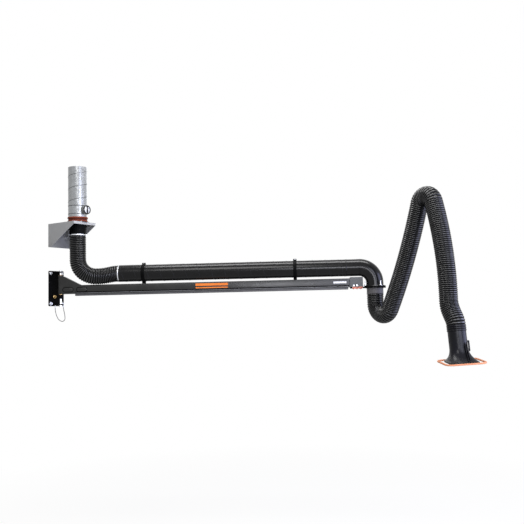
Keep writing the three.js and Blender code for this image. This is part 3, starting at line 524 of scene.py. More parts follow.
# colours, then roughness and specular level where they differ
finishes = {
    "blackPaint": paintedSheet(
        "black powder coat", (0.006, 0.006, 0.0056), (0.022, 0.022, 0.022), 0.3, 0.34),
    # deep black: the own coat of the wall plate, lugs, brake collar, swivel flange and tube clamps, and painted
    # shade on the spigot, oval rings and beam line
    "deepBlackAndShade": paintedSheet(
        "deep black coat and painted shade", (0.0012, 0.0012, 0.0013), (0.006, 0.006, 0.0064), 0.5, 0.03),
    "railPaint": paintedSheet("rail coat", (0.035, 0.035, 0.037), (0.10, 0.10, 0.105), 0.42, 0.35),
    # pale paint for the line along the beam's lower edge, a painted highlight
    "edgeHighlight": paintedSheet("painted edge highlight", (0.10, 0.10, 0.105), (0.26, 0.26, 0.27), 0.35, 0.4),
    "greyPaint": paintedSheet(
        "grey powder coat", (0.262, 0.264, 0.264), (0.31, 0.312, 0.313), 0.5, 0.2),
    "bracketPaint": paintedSheet("bracket grey", (0.05, 0.052, 0.053), (0.1, 0.103, 0.106), 0.45, 0.3),
    "zinc": platedSteel("bright zinc", (0.72, 0.73, 0.75), (0.5, 0.52, 0.55)),
    "dullZinc": platedSteel("dull zinc", (0.33, 0.335, 0.345), (0.2, 0.205, 0.215), 0.36),
    "yellowZinc": platedSteel("yellow zinc", (0.5, 0.34, 0.14), (0.32, 0.21, 0.09)),
    "copper": platedSteel("coppery nuts", (0.2, 0.075, 0.055), (0.09, 0.035, 0.028)),
    "bronze": platedSteel("bearing bronze", (0.4, 0.27, 0.13), (0.24, 0.16, 0.08), 0.38),
    "alloy": platedSteel("mill alloy", (0.5, 0.51, 0.52), (0.36, 0.37, 0.38), 0.4),
    "galvanised": galvanisedSheet(
        "galvanised sheet", (0.33, 0.34, 0.345), (0.22, 0.228, 0.232), (0.2, 0.205, 0.21),
        (0.05, 0.05, 0.052)),
    "duct": glossDuct(
        "gloss black duct", (0.003, 0.003, 0.0032), (0.010, 0.0095, 0.009), (0.014, 0.014, 0.016)),
    "hose": hoseCloth("hose cloth", (0.0008, 0.0008, 0.0009), (0.006, 0.006, 0.0066), (0.011, 0.010, 0.009)),
    "collarShadePlastic": mouldedPlastic(
        "plastic painted as groove shade", (0.0012, 0.0012, 0.0016), (0.004, 0.004, 0.005), 0.45, 0.05),
    "hoodPlastic": mouldedPlastic(
        "hood plastic", (0.0018, 0.0018, 0.003), (0.006, 0.006, 0.010), 0.32, 0.13),
    "knobPlastic": mouldedPlastic(
        "knob plastic", (0.004, 0.004, 0.0042), (0.010, 0.010, 0.011), 0.46, 0.15),
    "cuffPlastic": mouldedPlastic("cuff plastic", (0.066, 0.063, 0.064), (0.1, 0.097, 0.1), 0.5),
    "dialFace": mouldedPlastic("dial face", (0.55, 0.56, 0.57), (0.66, 0.67, 0.68), 0.5),
    "rubber": mattRubber("orange rubber", (0.15, 0.030, 0.013), (0.2, 0.046, 0.022)),
    "rubberGrooveShade": mattRubber("shaded rubber", (0.05, 0.007, 0.004), (0.075, 0.013, 0.007)),
    "rimRubber": mattRubber("rim rubber", (0.42, 0.165, 0.08), (0.5, 0.215, 0.115)),
    "lining": mattRubber("friction lining", (0.12, 0.095, 0.075), (0.19, 0.16, 0.13)),
    "stripe": mouldedPlastic("orange stripe", (0.66, 0.16, 0.015), (0.72, 0.2, 0.025), 0.45),
    "paleStripe": mouldedPlastic("pale stripe", (0.72, 0.72, 0.73), (0.8, 0.8, 0.81), 0.45),
    "rope": wireRope("wire rope", (0.02, 0.02, 0.021), (0.17, 0.172, 0.178)),
}
print("stage: finishes made,", len(finishes))

# record slot to finish, for the nodes that stay as they are
slotFinish = {
    "black_paint": "blackPaint", "grey_paint": "greyPaint", "zinc": "zinc", "yellow_zinc": "yellowZinc",
    "bronze": "bronze", "galvanised": "galvanised", "alloy": "alloy", "black_hose": "hose",
    "black_duct": "duct", "grey_plastic": "cuffPlastic", "black_plastic": "hoodPlastic",
    "orange_rubber": "rubber", "lining": "lining",
}
nodeFinish = {
    "end_bracket": "bracketPaint", "slot_rail": "railPaint", "wall_plate": "deepBlackAndShade",
    "hinge_lug_upper": "deepBlackAndShade", "hinge_lug_lower": "deepBlackAndShade", "brake_collar": "deepBlackAndShade",
    # duct_spigot sits in shadow under the console deck; its deep black is painted shade
    "swivel_flange": "deepBlackAndShade", "duct_spigot": "deepBlackAndShade", "lanyard_ferrule_1": "dullZinc",
    "lanyard_ferrule_2": "dullZinc",
}


def paint(obj, finishName):
    obj.data.materials.clear()
    obj.data.materials.append(finishes[finishName])


def dress(obj, body, slot, finishName, *replaced):
    paint(obj, finishName)
    if replaced:
        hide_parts(*replaced)
    if body:
        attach(obj, body)


for part in frame["record"]["subparts"]:
    node = frame["nodes"][part["node"]]
    paint(node, nodeFinish.get(part["node"], slotFinish[part["material_slot"]]))

# frames of the boom and the arm, in metres
boomSet = Sizes(hinge=(0.08, 0, 0), turn=math.radians(32), reach=3.36, armTurn=math.radians(-58))
boomFrame = Matrix.Translation(boomSet.hinge) @ spin(boomSet.turn, "Z")
armFrame = boomFrame @ shift(boomSet.reach, 0, 0) @ spin(boomSet.armTurn, "Z")

# lanyard, first of the soft pieces; its route is in millimetres
lanyardSet = Sizes(
    route=[
        (40, -42, -207), (41, -42, -224), (50, -42, -262), (68, -38, -306), (92, -29, -341), (126, -12, -355),
        (147, -2, -338), (136, 10, -303), (117, 18, -262), (102, 22, -232), (98, 22, -219), (98, 22, -207),
    ],
    radius=0.0035,
    perSpan=6,
)


def throughPoints(knots, perSpan):
    first = knots[0] + (knots[0] - knots[1])
    last = knots[-1] + (knots[-1] - knots[-2])
    ring = [first, *knots, last]
    points = []
    for a, b, c, d in zip(ring, ring[1:], ring[2:], ring[3:]):
        stops = [0.0]
        for u, v in ((a, b), (b, c), (c, d)):
            stops.append(stops[-1] + math.sqrt((v - u).length))
        share = lambda t, i, j: (t - stops[i]) / (stops[j] - stops[i])
        for i in range(perSpan):
            t = stops[1] + (stops[2] - stops[1]) * i / perSpan
            ab, bc, cd = a.lerp(b, share(t, 0, 1)), b.lerp(c, share(t, 1, 2)), c.lerp(d, share(t, 2, 3))
            abc, bcd = ab.lerp(bc, share(t, 0, 2)), bc.lerp(cd, share(t, 1, 3))
            points.append(abc.lerp(bcd, share(t, 1, 2)))
    points.append(knots[-1].copy())
    return points


def lineLength(points):
    return sum((b - a).length for a, b in zip(points, points[1:]))


def makeCurve(name, points, bevel=0.0):
    data = bpy.data.curves.new(name, "CURVE")
    data.dimensions = "3D"
    data.twist_mode = "MINIMUM"
    data.bevel_depth = bevel
    data.bevel_resolution = 3
    data.use_fill_caps = bevel > 0
    spline = data.splines.new("POLY")
    spline.points.add(len(points) - 1)
    for spot, point in zip(spline.points, points):
        spot.co = (*point, 1)
    return linked(name, data)


def curveToMesh(name, curve):
    takeUp(curve)
    bpy.ops.object.convert(target="MESH")
    return called(name)


# an upright tube laid along a line
def layAlong(obj, points):
    line = makeCurve("line", points)
    applyModifier(obj, "CURVE", object=line, deform_axis="POS_Z")
    bpy.data.objects.remove(line)


def addLanyard(spec):
    points = throughPoints([Vector(point) / 1000 for point in spec.route], spec.perSpan)
    rope = smooth(curveToMesh("lanyard", makeCurve("lanyard", points, spec.radius)), 60)
    dress(rope, "wall", "zinc", "rope", "lanyard_rope")
    lineLength(points)
    return lineLength(points)


print("stage: lanyard, %.3f m" % addLanyard(lanyardSet))

# hoses: one rib from a circle, repeated along the hose and laid on its line
hoseSet = Sizes(
    crest=0.088,
    valley=0.0815,
    pitch=0.019,
    sides=48,
    wall=0.0016,
    profile=[  # share of the pitch, share of the rib's height
        (0.0, 0.0), (0.15, 0.1), (0.28, 0.75), (0.39, 0.97), (0.5, 1.0), (0.61, 0.97), (0.72, 0.75),
        (0.85, 0.1), (1.0, 0.0),
    ],
    lineStep=0.006,
)
armLine = Sizes(
    top=-0.1377,
    drop=0.091,
    shoulderBend=0.132,
    lowerLean=math.radians(26.7),
    lowerBow=math.radians(5.5),
    lowerLeg=1.124,
    elbowBend=0.108,
    upperLean=math.radians(8.5),
    upperBow=math.radians(8.5),
    upperLeg=1.0255,
    bendTail=0.060,
    wristTail=0.085,
    wristPull=0.080,
    wristEase=0.4,
    hoodShift=0.084,
    hoodDrop=0.1482,
    hoodLean=math.radians(6),
    collar=0.060,
    collarGap=0.0003,
)
inletLine = Sizes(
    top=(0.300, 0.050, 0.5697),
    ductHeight=0.143,
    ductStart=0.652,
    turn=0.160,
    pull=0.110,
    lowAlong=0.400,
    lowAside=-0.034,
    low=0.1185,
    run=0.040,
)


def flat(x, z):
    return Vector((x, 0, z))


def rising(lean):
    return flat(math.sin(lean), math.cos(lean))


def falling(lean):
    return flat(math.sin(lean), -math.cos(lean))


def onArc(centre, radius, angle):
    return centre + flat(radius * math.cos(angle), radius * math.sin(angle))


def straightLine(a, b):
    count = max(2, round((b - a).length / hoseSet.lineStep))
    return [a.lerp(b, i / count) for i in range(count + 1)]


def arcLine(centre, radius, start, end):
    count = max(4, round(abs(end - start) * radius / hoseSet.lineStep))
    return [onArc(centre, radius, start + (end - start) * i / count) for i in range(count + 1)]


def pulledLine(a, b, c, d):
    count = max(8, round((d - a).length / hoseSet.lineStep))
    points = []
    for i in range(count + 1):
        t = i / count
        s = 1 - t
        points.append(a * s ** 3 + b * 3 * s * s * t + c * 3 * s * t * t + d * t ** 3)
    return points


def bowedLine(a, run, b, endRun):
    pull = (b - a).length / 3
    return pulledLine(a, a + run * pull, b - endRun * pull, b)


def chained(*lines):
    points = list(lines[0])
    for line in lines[1:]:
        points += line[1:]
    return points


# the top of the hood's neck, and each hose: its line in the arm's upright plane, its body,
# and where it bends the second body and the ends of the bend
def armHoses(spec):
    lean, bow, bend, tight = spec.lowerLean, spec.lowerBow, spec.shoulderBend, spec.elbowBend
    lowerOut, lowerIn = rising(lean + bow), rising(lean - bow)
    upperOut, upperIn = falling(spec.upperLean + spec.upperBow), falling(spec.upperLean - spec.upperBow)
    neckRun, pull = falling(spec.hoodLean), spec.wristPull
    bendStart, shoulder = flat(0, spec.top - spec.drop), flat(bend, spec.top - spec.drop)
    shoulderEnd = 2 * math.pi - lean - bow
    lowerStart = onArc(shoulder, bend, shoulderEnd)
    lowerEnd = lowerStart + rising(lean) * spec.lowerLeg
    elbowFrom, elbowTo = math.pi - lean + bow, spec.upperLean + spec.upperBow
    elbow = onArc(lowerEnd, tight, elbowFrom - math.pi)
    upperStart = onArc(elbow, tight, elbowTo)
    upperEnd = upperStart + falling(spec.upperLean) * spec.upperLeg
    hoseEnd = upperEnd + flat(spec.hoodShift, -spec.hoodDrop)
    bendOut, elbowIn = lowerStart + lowerOut * spec.bendTail, lowerEnd - lowerIn * spec.bendTail
    elbowOut, wristIn = upperStart + upperOut * spec.bendTail, upperEnd - upperIn * spec.wristTail
    wristOut = wristIn + upperIn * (spec.wristTail + pull * spec.wristEase)
    return hoseEnd + neckRun * (spec.collar + spec.collarGap), {
        "hose_shoulder": (chained(
            straightLine(flat(0, spec.top), bendStart), arcLine(shoulder, bend, math.pi, shoulderEnd),
            straightLine(lowerStart, bendOut)), "arm_base", "lower_arm", bendStart, lowerStart),
        "hose_lower": (bowedLine(bendOut, lowerOut, elbowIn, lowerIn), "lower_arm"),
        "hose_elbow": (chained(
            straightLine(elbowIn, lowerEnd), arcLine(elbow, tight, elbowFrom, elbowTo),
            straightLine(upperStart, elbowOut)), "lower_arm", "upper_arm", lowerEnd, upperStart),
        "hose_upper": (bowedLine(elbowOut, upperOut, wristIn, upperIn), "upper_arm"),
        "hose_wrist": (pulledLine(wristIn, wristOut, hoseEnd - neckRun * pull, hoseEnd),
                       "upper_arm", "hood_mount", upperEnd, hoseEnd),
    }


def inletHoseLine(spec):
    onBoom = lambda along, aside, height: boomFrame @ Vector((along, aside, height))
    top, height, start = Vector(spec.top), spec.ductHeight, spec.ductStart - spec.run
    turnTop = Vector((top.x, top.y, height + spec.turn))
    lowPoint = onBoom(spec.lowAlong, spec.lowAside, spec.low)
    ahead = (onBoom(spec.lowAlong + spec.pull, 0, spec.low) - lowPoint).normalized() * spec.pull
    runStart, runEnd = onBoom(start, 0, height), onBoom(spec.ductStart, 0, height)
    return chained(
        straightLine(top, turnTop),
        pulledLine(turnTop, turnTop + Vector((0, 0, -spec.pull)), lowPoint - ahead, lowPoint),
        pulledLine(lowPoint, lowPoint + ahead, onBoom(start - spec.pull / 2, 0, height), runStart),
        straightLine(runStart, runEnd))


def ribbedHose(name, points, spec):
    length = lineLength(points)
    ribs = round(length / spec.pitch)
    pitch = length / ribs
    depth = spec.crest - spec.valley
    clearSelection()
    bpy.ops.mesh.primitive_circle_add(vertices=spec.sides, radius=spec.valley, fill_type="NOTHING")
    editAll("EDGE")
    for before, after in zip(spec.profile, spec.profile[1:]):
        grow = (spec.valley + depth * after[1]) / (spec.valley + depth * before[1])
        extrude(0, 0, (after[0] - before[0]) * pitch)
        bpy.ops.transform.resize(value=(grow, grow, 1), center_override=(0, 0, 0))
    switchTo("OBJECT")
    hose = cleanShell(called(name))
    applyModifier(
        hose, "ARRAY", count=ribs, use_relative_offset=False, use_constant_offset=True,
        constant_offset_displace=(0, 0, pitch), use_merge_vertices=True, merge_threshold=weld,
    )
    thicken(hose, spec.wall)
    rib = hose.data.attributes.new("rib", "FLOAT", "POINT")
    rib.data.foreach_set("value", [
        max(0.0, (math.hypot(v.co.x, v.co.y) - spec.valley) / depth) for v in hose.data.vertices])
    layAlong(hose, points)
    return smooth(hose, 70)


neckTop, armHose = armHoses(armLine)
for name, (line, body, *bend) in armHose.items():
    skin = ribbedHose(name + "_skin", [armFrame @ point for point in line], hoseSet)
    dress(skin, None if bend else body, "black_hose", "hose", name)
    if bend:
        armFrame @ bend[1]
        armFrame @ bend[2]
        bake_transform(skin)
inletPoints = inletHoseLine(inletLine)
inletSkin = ribbedHose("hose_inlet_skin", inletPoints, hoseSet)
dress(inletSkin, None, "black_hose", "hose", "hose_inlet")
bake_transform(inletSkin)
print("stage: hoses laid")

# spiral ducts: one turn of sheet with its lock seam, screwed along the duct
spiralSet = Sizes(pitch=0.137, seamWide=0.007, seamHigh=0.0016, crown=0.7, wall=0.0015, seamFrom=0.1)
riserSet = Sizes(place=(0.300, 0.050), radius=0.100)
ductSet = Sizes(radius=0.090, start=0.652, end=3.0547, height=0.143)


def spiralDuct(name, radius, length, spec):
    half, middle, high = spec.seamWide / 2, spec.pitch / 2, radius + spec.seamHigh
    crown = half * spec.crown
    duct = lathe(name, [
        (radius, 0), (radius, middle - half), (high, middle - crown), (high, middle + crown),
        (radius, middle + half), (radius, spec.pitch),
    ], rise=spec.pitch, turns=math.ceil(length / spec.pitch) + 2)
    for height, up in ((spec.pitch, -1), (spec.pitch + length, 1)):
        editAll()
        bpy.ops.mesh.bisect(plane_co=(0, 0, height), plane_no=(0, 0, up), clear_outer=True)
    seatIn(duct, shift(0, 0, -spec.pitch))
    thicken(duct, spec.wall)
    seam = duct.data.attributes.new("seam", "FLOAT", "POINT")
    edge = radius + spec.seamHigh * spec.seamFrom
    seam.data.foreach_set("value", [float(math.hypot(v.co.x, v.co.y) > edge) for v in duct.data.vertices])
    return smooth(duct, 28)


riserLow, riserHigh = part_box("riser_duct")
riserSpiral = spiralDuct("riser_spiral", riserSet.radius, riserHigh[2] - riserLow[2], spiralSet)
seatIn(riserSpiral, shift(*riserSet.place, riserLow[2]))
dress(riserSpiral, "wall", "galvanised", "galvanised", "riser_duct")
boomSpiral = spiralDuct("boom_spiral", ductSet.radius, ductSet.end - ductSet.start, spiralSet)
seatIn(boomSpiral, boomFrame @ shift(ductSet.start, 0, ductSet.height) @ spin(math.pi / 2, "Y"))
dress(boomSpiral, "boom", "black_duct", "duct", "boom_duct")
print("stage: spiral ducts")

# wall: anchor bolts of the plate and the console, small bolts round the reducer's flange
wallBolts = Sizes(
    plate=Sizes(face=0.010, aside=0.074, up=0.164, across=0.018),
    console=Sizes(face=0.005, middle=0.050, aside=0.0927, height=0.567, across=0.022),
    flange=Sizes(radius=0.1135, height=0.6993, count=8, across=0.007),
)


def addWallBolts(spec):
    plate, console, flange = spec.plate, spec.console, spec.flange
    out = (1, 0, 0)
    bolts = [boltAt((plate.face, y * plate.aside, z * plate.up), out, plate.across)
             for y in (-1, 1) for z in (-1, 1)]
    bolts += [boltAt((console.face, console.middle + y * console.aside, console.height), out, console.across)
              for y in (-1, 1)]
    for i in range(flange.count):
        angle = 2 * math.pi * (i + 0.5) / flange.count
        x = riserSet.place[0] + flange.radius * math.cos(angle)
        y = riserSet.place[1] + flange.radius * math.sin(angle)
        bolts.append(boltAt((x, y, flange.height), (0, 0, 1), flange.across))
    dress(joinAll("wall_bolts", bolts), "wall", "zinc", "zinc")


addWallBolts(wallBolts)

# riser: rubber sleeve with two lips and a groove painted darker as shade, damper housing with a dark ring painted
# as shade under each bead, and boss
sleeveSet = Sizes(
    inner=0.0973, lip=0.1075, groove=0.0995, low=0.6996, high=0.7516, lipHigh=0.0150, soft=0.003,
    cut=0.3, overlap=0.9,
)
damperSet = Sizes(
    inner=0.097, outer=0.1003, low=0.7519, high=0.8919, bead=0.0016, beadWide=0.007, beads=(0.790, 0.877),
    seal=0.0045, sealSunk=0.001, sealHigh=0.0012, sealEdge=0.0004, bossRadius=0.017, bossReach=0.0245,
    bossEdge=(0.003, 0.004), bossSunk=0.002, bossSteps=32, middle=0.8219,
)
riserPlace = shift(*riserSet.place, 0)


def addSleeve(spec, place):
    inner, lip, soft, rise = spec.inner, spec.lip, spec.soft, spec.lipHigh
    cut = soft * spec.cut
    rings = []
    for low in (spec.low, spec.high - rise):
        top = low + rise
        rings.append(lathe("sleeve_lip", [
            (inner, low), (lip - soft, low), (lip - cut, low + cut), (lip, low + soft), (lip, top - soft),
            (lip - cut, top - cut), (lip - soft, top), (inner, top), (inner, low),
        ]))
    band = smooth(seatIn(joinAll("sleeve_lips", rings), place), 50)
    dress(band, "wall", "orange_rubber", "rubber", "rubber_sleeve")
    reach = rise * spec.overlap
    # the inner band between the lips is darker rubber, painted shade in the groove
    inside = bandRing("sleeve_groove", inner, spec.groove, spec.low + reach, spec.high - reach)
    dress(seatIn(inside, place), "wall", "orange_rubber", "rubberGrooveShade")


def addDamperHousing(spec, place):
    inner, outer, wide, high = spec.inner, spec.outer, spec.beadWide / 2, spec.outer + spec.bead
    profile = [(inner, spec.low), (outer, spec.low)]
    for middle in spec.beads:
        profile += [(outer, middle - wide), (high, middle - wide / 2), (high, middle + wide / 2),
                    (outer, middle + wide)]
    profile += [(outer, spec.high), (inner, spec.high), (inner, spec.low)]
    shell = lathe("damper_shell", profile)
    boss = lathe("damper_boss", postProfile(spec.bossRadius, 0, spec.bossReach, *spec.bossEdge), spec.bossSteps)
    seatIn(boss, shift(outer - spec.bossSunk, 0, spec.middle) @ axisTurn((1, 0, 0)))
    skin = smooth(seatIn(joinAll("damper_skin", [shell, boss]), place), 30)
    dress(skin, "wall", "galvanised", "galvanised", "damper_housing")
    # a thin dark ring just under each bead, painted shade under the bead
    beadShades = [bandRing("seal", outer - spec.sealSunk, outer + spec.sealHigh, middle - wide - spec.seal,
                      middle - wide, spec.sealEdge) for middle in spec.beads]
    dress(seatIn(joinAll("damper_bead_shades", beadShades), place), "wall", "black_plastic", "knobPlastic")


addSleeve(sleeveSet, riserPlace)
addDamperHousing(damperSet, riserPlace)

# damper handle: dished dark wheel, pale dial, grip bar across it
handleSet = Sizes(
    place=(0.440, 0.050, 0.8219), radius=0.0475, thick=0.014, floor=0.0085, rim=0.009, foot=(0.006, 0.004),
    edge=0.003, lip=0.002, grip=(0.082, 0.013, 0.010), dial=0.0008, dialSunk=0.001, dialGap=0.0004, steps=56,
)


def addHandle(spec):
    radius, thick, edge, floor, lip = spec.radius, spec.thick, spec.edge, spec.floor, spec.lip
    dish = radius - spec.rim
    wheel = lathe("handle_wheel", [
        (0, 0), (radius - spec.foot[0], 0), (radius, spec.foot[1]), (radius, thick - edge),
        (radius - edge, thick), (dish + lip, thick), (dish, thick - lip), (dish, floor), (0, floor),
    ], spec.steps)
    grip = roundBar("handle_grip", spec.grip, (0, 0, floor + spec.grip[2] / 2), edge, 3)
    place = Matrix.Translation(spec.place) @ axisTurn((1, 0, 0))
    skin = smooth(seatIn(joinAll("handle_skin", [wheel, grip]), place))
    dress(skin, "riser_damper", "black_plastic", "knobPlastic", "damper_handle")
    low, high, reach = floor - spec.dialSunk, floor + spec.dial, dish - spec.dialGap
    dial = lathe("handle_dial", [(0, low), (reach, low), (reach, high), (0, high)], spec.steps)
    dress(seatIn(dial, place), "riser_damper", "grey_plastic", "dialFace")


addHandle(handleSet)
print("stage: wall and riser details")

# worm-drive clamps of the inlet hose
clampSet = Sizes(
    inner=0.0883, thick=0.0020, wide=0.011, edge=0.0006, housing=(0.009, 0.030, 0.013), housingEdge=0.002,
    sunk=0.001, screw=0.009, screwOut=0.0045, consoleHeight=0.5607, consoleTurn=math.radians(60),
    ductBack=0.0093, ductTurn=math.radians(115),
)


def addClamp(name, spec, place, body, replaced):
    outer, half = spec.inner + spec.thick, spec.wide / 2
    band = bandRing("band", spec.inner, outer, -half, half, spec.edge)
    middle = (outer + spec.housing[0] / 2 - spec.sunk, 0, 0)
    housing = roundBar("housing", spec.housing, middle, spec.housingEdge)
    screw = boltAt((outer + spec.screwOut, spec.housing[1] / 2 - spec.sunk, 0), (0, 1, 0), spec.screw)
    clamp = smooth(seatIn(joinAll(name, [band, housing, screw]), place))
    dress(clamp, body, "zinc", "zinc", replaced)


consolePlace = riserPlace @ shift(0, 0, clampSet.consoleHeight) @ spin(clampSet.consoleTurn, "Z")
addClamp("clamp_console", clampSet, consolePlace, "wall", "hose_clamp_console")
ductPlace = boomFrame @ shift(ductSet.start - clampSet.ductBack, 0, ductSet.height)
ductPlace = ductPlace @ axisTurn((1, 0, 0)) @ spin(clampSet.ductTurn, "Z")
addClamp("clamp_duct", clampSet, ductPlace, "boom", "hose_clamp_duct")

# boom beam: folded box with a tapered root, pressed ovals ringed with painted shade, and two lines along its
# lower edge: a pale one painted as highlight and a dark one painted as shade
beamSet = Sizes(
    outline=[(0, -0.064), (3.1, -0.064), (3.1, 0.030), (0.230, 0.030), (0.043, 0.126), (0, 0.126)],
    wide=0.060,
    fold=0.005,
    ovals=[(0.089, -0.0185), (0.240, -0.0185)],
    oval=(0.108, 0.042),
    pad=(0.006, 0.0025),  # thickness and rounding
    # groove: size of the thin dark ring of painted shade round each oval
    groove=(0.0012, 0.0004),
    grooveWide=0.007,
    lineEnds=(0.168, 3.092),
    # lip is a pale line painted as the highlight of the lower edge; shade_line is a dark line painted as shade
    lip=Sizes(height=-0.0555, tall=0.005, stand=0.0016),
    shade_line=Sizes(height=-0.0470, tall=0.011, stand=0.0009),
)


# pieces that lie on both sides of the boom
def dressBoom(name, pieces, finishName):
    dress(seatIn(joinAll(name, pieces), boomFrame), "boom", "black_paint", finishName)


def addBeam(spec):
    skin = seatIn(outlinePlate("beam_skin", spec.outline, spec.wide, spec.fold, 3), boomFrame)
    dress(skin, "boom", "black_paint", "blackPaint", "boom_beam")
    pads, ovalShadeRings = [], []
    length, height = spec.oval
    wider = 2 * spec.grooveWide
    for side in (-1, 1):
        face = shift(0, side * spec.wide / 2, 0)
        for centre in spec.ovals:
            pads.append(seatIn(outlinePlate("pad", obround(length, height, centre), *spec.pad), face))
            # a thin deep black ring round each oval, painted shade along its pressed edge
            outline = obround(length + wider, height + wider, centre)
            ovalShadeRings.append(seatIn(outlinePlate("groove", outline, *spec.groove, 1), face))
    dressBoom("beam_ovals", pads, "blackPaint")
    dressBoom("beam_oval_shade_rings", ovalShadeRings, "deepBlackAndShade")
    start, end = spec.lineEnds
    for name, finishName in (("lip", "edgeHighlight"), ("shade_line", "deepBlackAndShade")):
        row = spec[name]
        size = (end - start, 2 * row.stand, row.tall)
        dressBoom("beam_" + name, [
            roundBar("line", size, ((start + end) / 2, side * spec.wide / 2, row.height), row.stand / 2)
            for side in (-1, 1)], finishName)


addBeam(beamSet)

# plain bars on the beam's sides: place along it, height, length, depth
barSet = Sizes(
    stripe=[(1.640, 0.002, 0.345, 0.026), (1.640, -0.031, 0.345, 0.012)],
    pale=[(2.995, -0.010, 0.135, 0.020)],
    thick=0.0016,
    edge=0.0005,
)


def addBars(name, rows, finishName):
    dressBoom(name, [
        roundBar("bar", (length, barSet.thick, tall), (along, side * beamSet.wide / 2, height), barSet.edge)
        for side in (-1, 1) for along, height, length, tall in rows], finishName)


addBars("beam_stripe", barSet.stripe, "stripe")
addBars("beam_pale_bar", barSet.pale, "paleStripe")

# elbow: pressed bend with beads and a bolted collar at its foot
elbowSet = Sizes(
    radius=0.090, bend=0.160, start=3.055, bendStart=3.200, height=0.143, foot=-0.0597, step=0.007, bead=0.0028,
    beads=[(0.006, 0.004), (0.150, 0.0035)], wall=0.003, sides=72, collar=0.112, collarHigh=0.009, edge=0.002,
)


def addElbow(spec):
    reach, height = boomSet.reach, spec.height
    centre = flat(spec.bendStart, height - spec.bend)
    line = chained(
        straightLine(flat(spec.start, height), flat(spec.bendStart, height)),
        arcLine(centre, spec.bend, math.pi / 2, 0),
        straightLine(flat(reach, centre.z), flat(reach, spec.foot)))
    length = lineLength(line)
    count = round(length / spec.step)
    stops = {round(length * i / count, 5) for i in range(count + 1)}
    stops |= {round(middle + half * side, 5) for middle, half in spec.beads for side in (-1, -0.5, 0.5, 1)}
    bend = openTube("elbow_bend", spec.sides, spec.radius, sorted(stops))
    for spot in bend.data.vertices:
        for middle, half in spec.beads:
            share = max(0.0, 1 - ((spot.co.z - middle) / half) ** 2)
            grow = 1 + spec.bead * share / spec.radius
            spot.co.x *= grow
            spot.co.y *= grow
    thicken(cleanShell(bend), spec.wall)
    layAlong(bend, [boomFrame @ point for point in line])
    collar = bandRing("collar", spec.radius - spec.wall, spec.collar, 0, spec.collarHigh, spec.edge)
    seatIn(collar, boomFrame @ shift(reach, 0, spec.foot))
    skin = smooth(joinAll("elbow_skin", [bend, collar]), 40)
    dress(skin, "boom", "black_duct", "duct", "elbow_duct")


addElbow(elbowSet)

# pipe clamps: band, foot on the beam, split ear at the crown
pipeClampSet = Sizes(
    along=(0.910, 2.527), inner=0.0903, outer=0.0963, wide=0.036, edge=0.0015, foot=(0.036, 0.040),
    footEdge=0.002, footGap=0.002, beamTop=0.030, ear=(0.036, 0.022, 0.015), earFoot=0.003, slit=0.004,
)


def addPipeClamp(number, along, spec):
    half, height = spec.wide / 2, ductSet.height
    band = bandRing("band", spec.inner, spec.outer, -half, half, spec.edge)
    seatIn(band, shift(along, 0, height) @ axisTurn((1, 0, 0)))
    footTop = height - spec.inner - spec.footGap
    foot = roundBar("foot", (*spec.foot, footTop - spec.beamTop),
                    (along, 0, (footTop + spec.beamTop) / 2), spec.footEdge)
    long, both, tall = spec.ear
    wide = (both - spec.slit) / 2
    middle = height + spec.inner + spec.earFoot + tall / 2
    ears = [roundBar("ear", (long, wide, tall), (along, side * (spec.slit + wide) / 2, middle), spec.edge)
            for side in (-1, 1)]
    clamp = smooth(seatIn(joinAll("pipe_clamp_%d" % number, [band, foot, *ears]), boomFrame))
    dress(clamp, "boom", "black_paint", "deepBlackAndShade", "tube_clamp_%d" % number)


for number, along in enumerate(pipeClampSet.along, 1):
    addPipeClamp(number, along, pipeClampSet)

# swivel studs with nuts, bolts and rivets at the foot of the end bracket
studSet = Sizes(
    circle=0.101, angles=(60, 180, 300), foot=-0.0504, radius=0.005, rise=0.046, edge=0.002, steps=20, nut=0.0150,
)
bracketSet = Sizes(
    bolts=(3.139, 3.174, 3.212), aside=0.028, height=-0.0672, across=0.0160,
    rivets=(3.140, 3.172), face=0.033, rivetHeight=-0.046, rivet=0.0075,
)


def addStuds(spec):
    for number, angle in enumerate(spec.angles, 1):
        turn = math.radians(angle)
        x, y = spec.circle * math.cos(turn), spec.circle * math.sin(turn)
        place = boomFrame @ Vector((boomSet.reach + x, y, spec.foot))
        rod = lathe("rod", postProfile(spec.radius, 0, spec.rise, spec.edge), spec.steps)
        seatIn(rod, Matrix.Translation(place))
        stud = smooth(joinAll("stud_%d" % number, [rod, boltAt(place, (0, 0, 1), spec.nut)]), 30)
        dress(stud, "boom", "zinc", "zinc", "flange_stud_%d" % number)


def bracketBolts(name, alongs, aside, height, across):
    bolts = []
    for side in (-1, 1):
        out = boomFrame.to_3x3() @ Vector((0, side, 0))
        bolts += [boltAt(boomFrame @ Vector((along, side * aside, height)), out, across) for along in alongs]
    return joinAll(name, bolts)


def addBracketBolts(spec):
    bolts = bracketBolts("bracket_bolts", spec.bolts, spec.aside, spec.height, spec.across)
    dress(bolts, "boom", "yellow_zinc", "copper")
    rivets = bracketBolts("bracket_rivets", spec.rivets, spec.face, spec.rivetHeight, spec.rivet)
    dress(rivets, "boom", "zinc", "zinc")


addStuds(studSet)
addBracketBolts(bracketSet)
print("stage: boom details")

# cuff under the swivel
cuffSet = Sizes(
    inner=0.0839, outer=0.0879, low=-0.1374, high=-0.0764, lip=0.006, edge=0.001, waist=0.0015, slope=0.002)


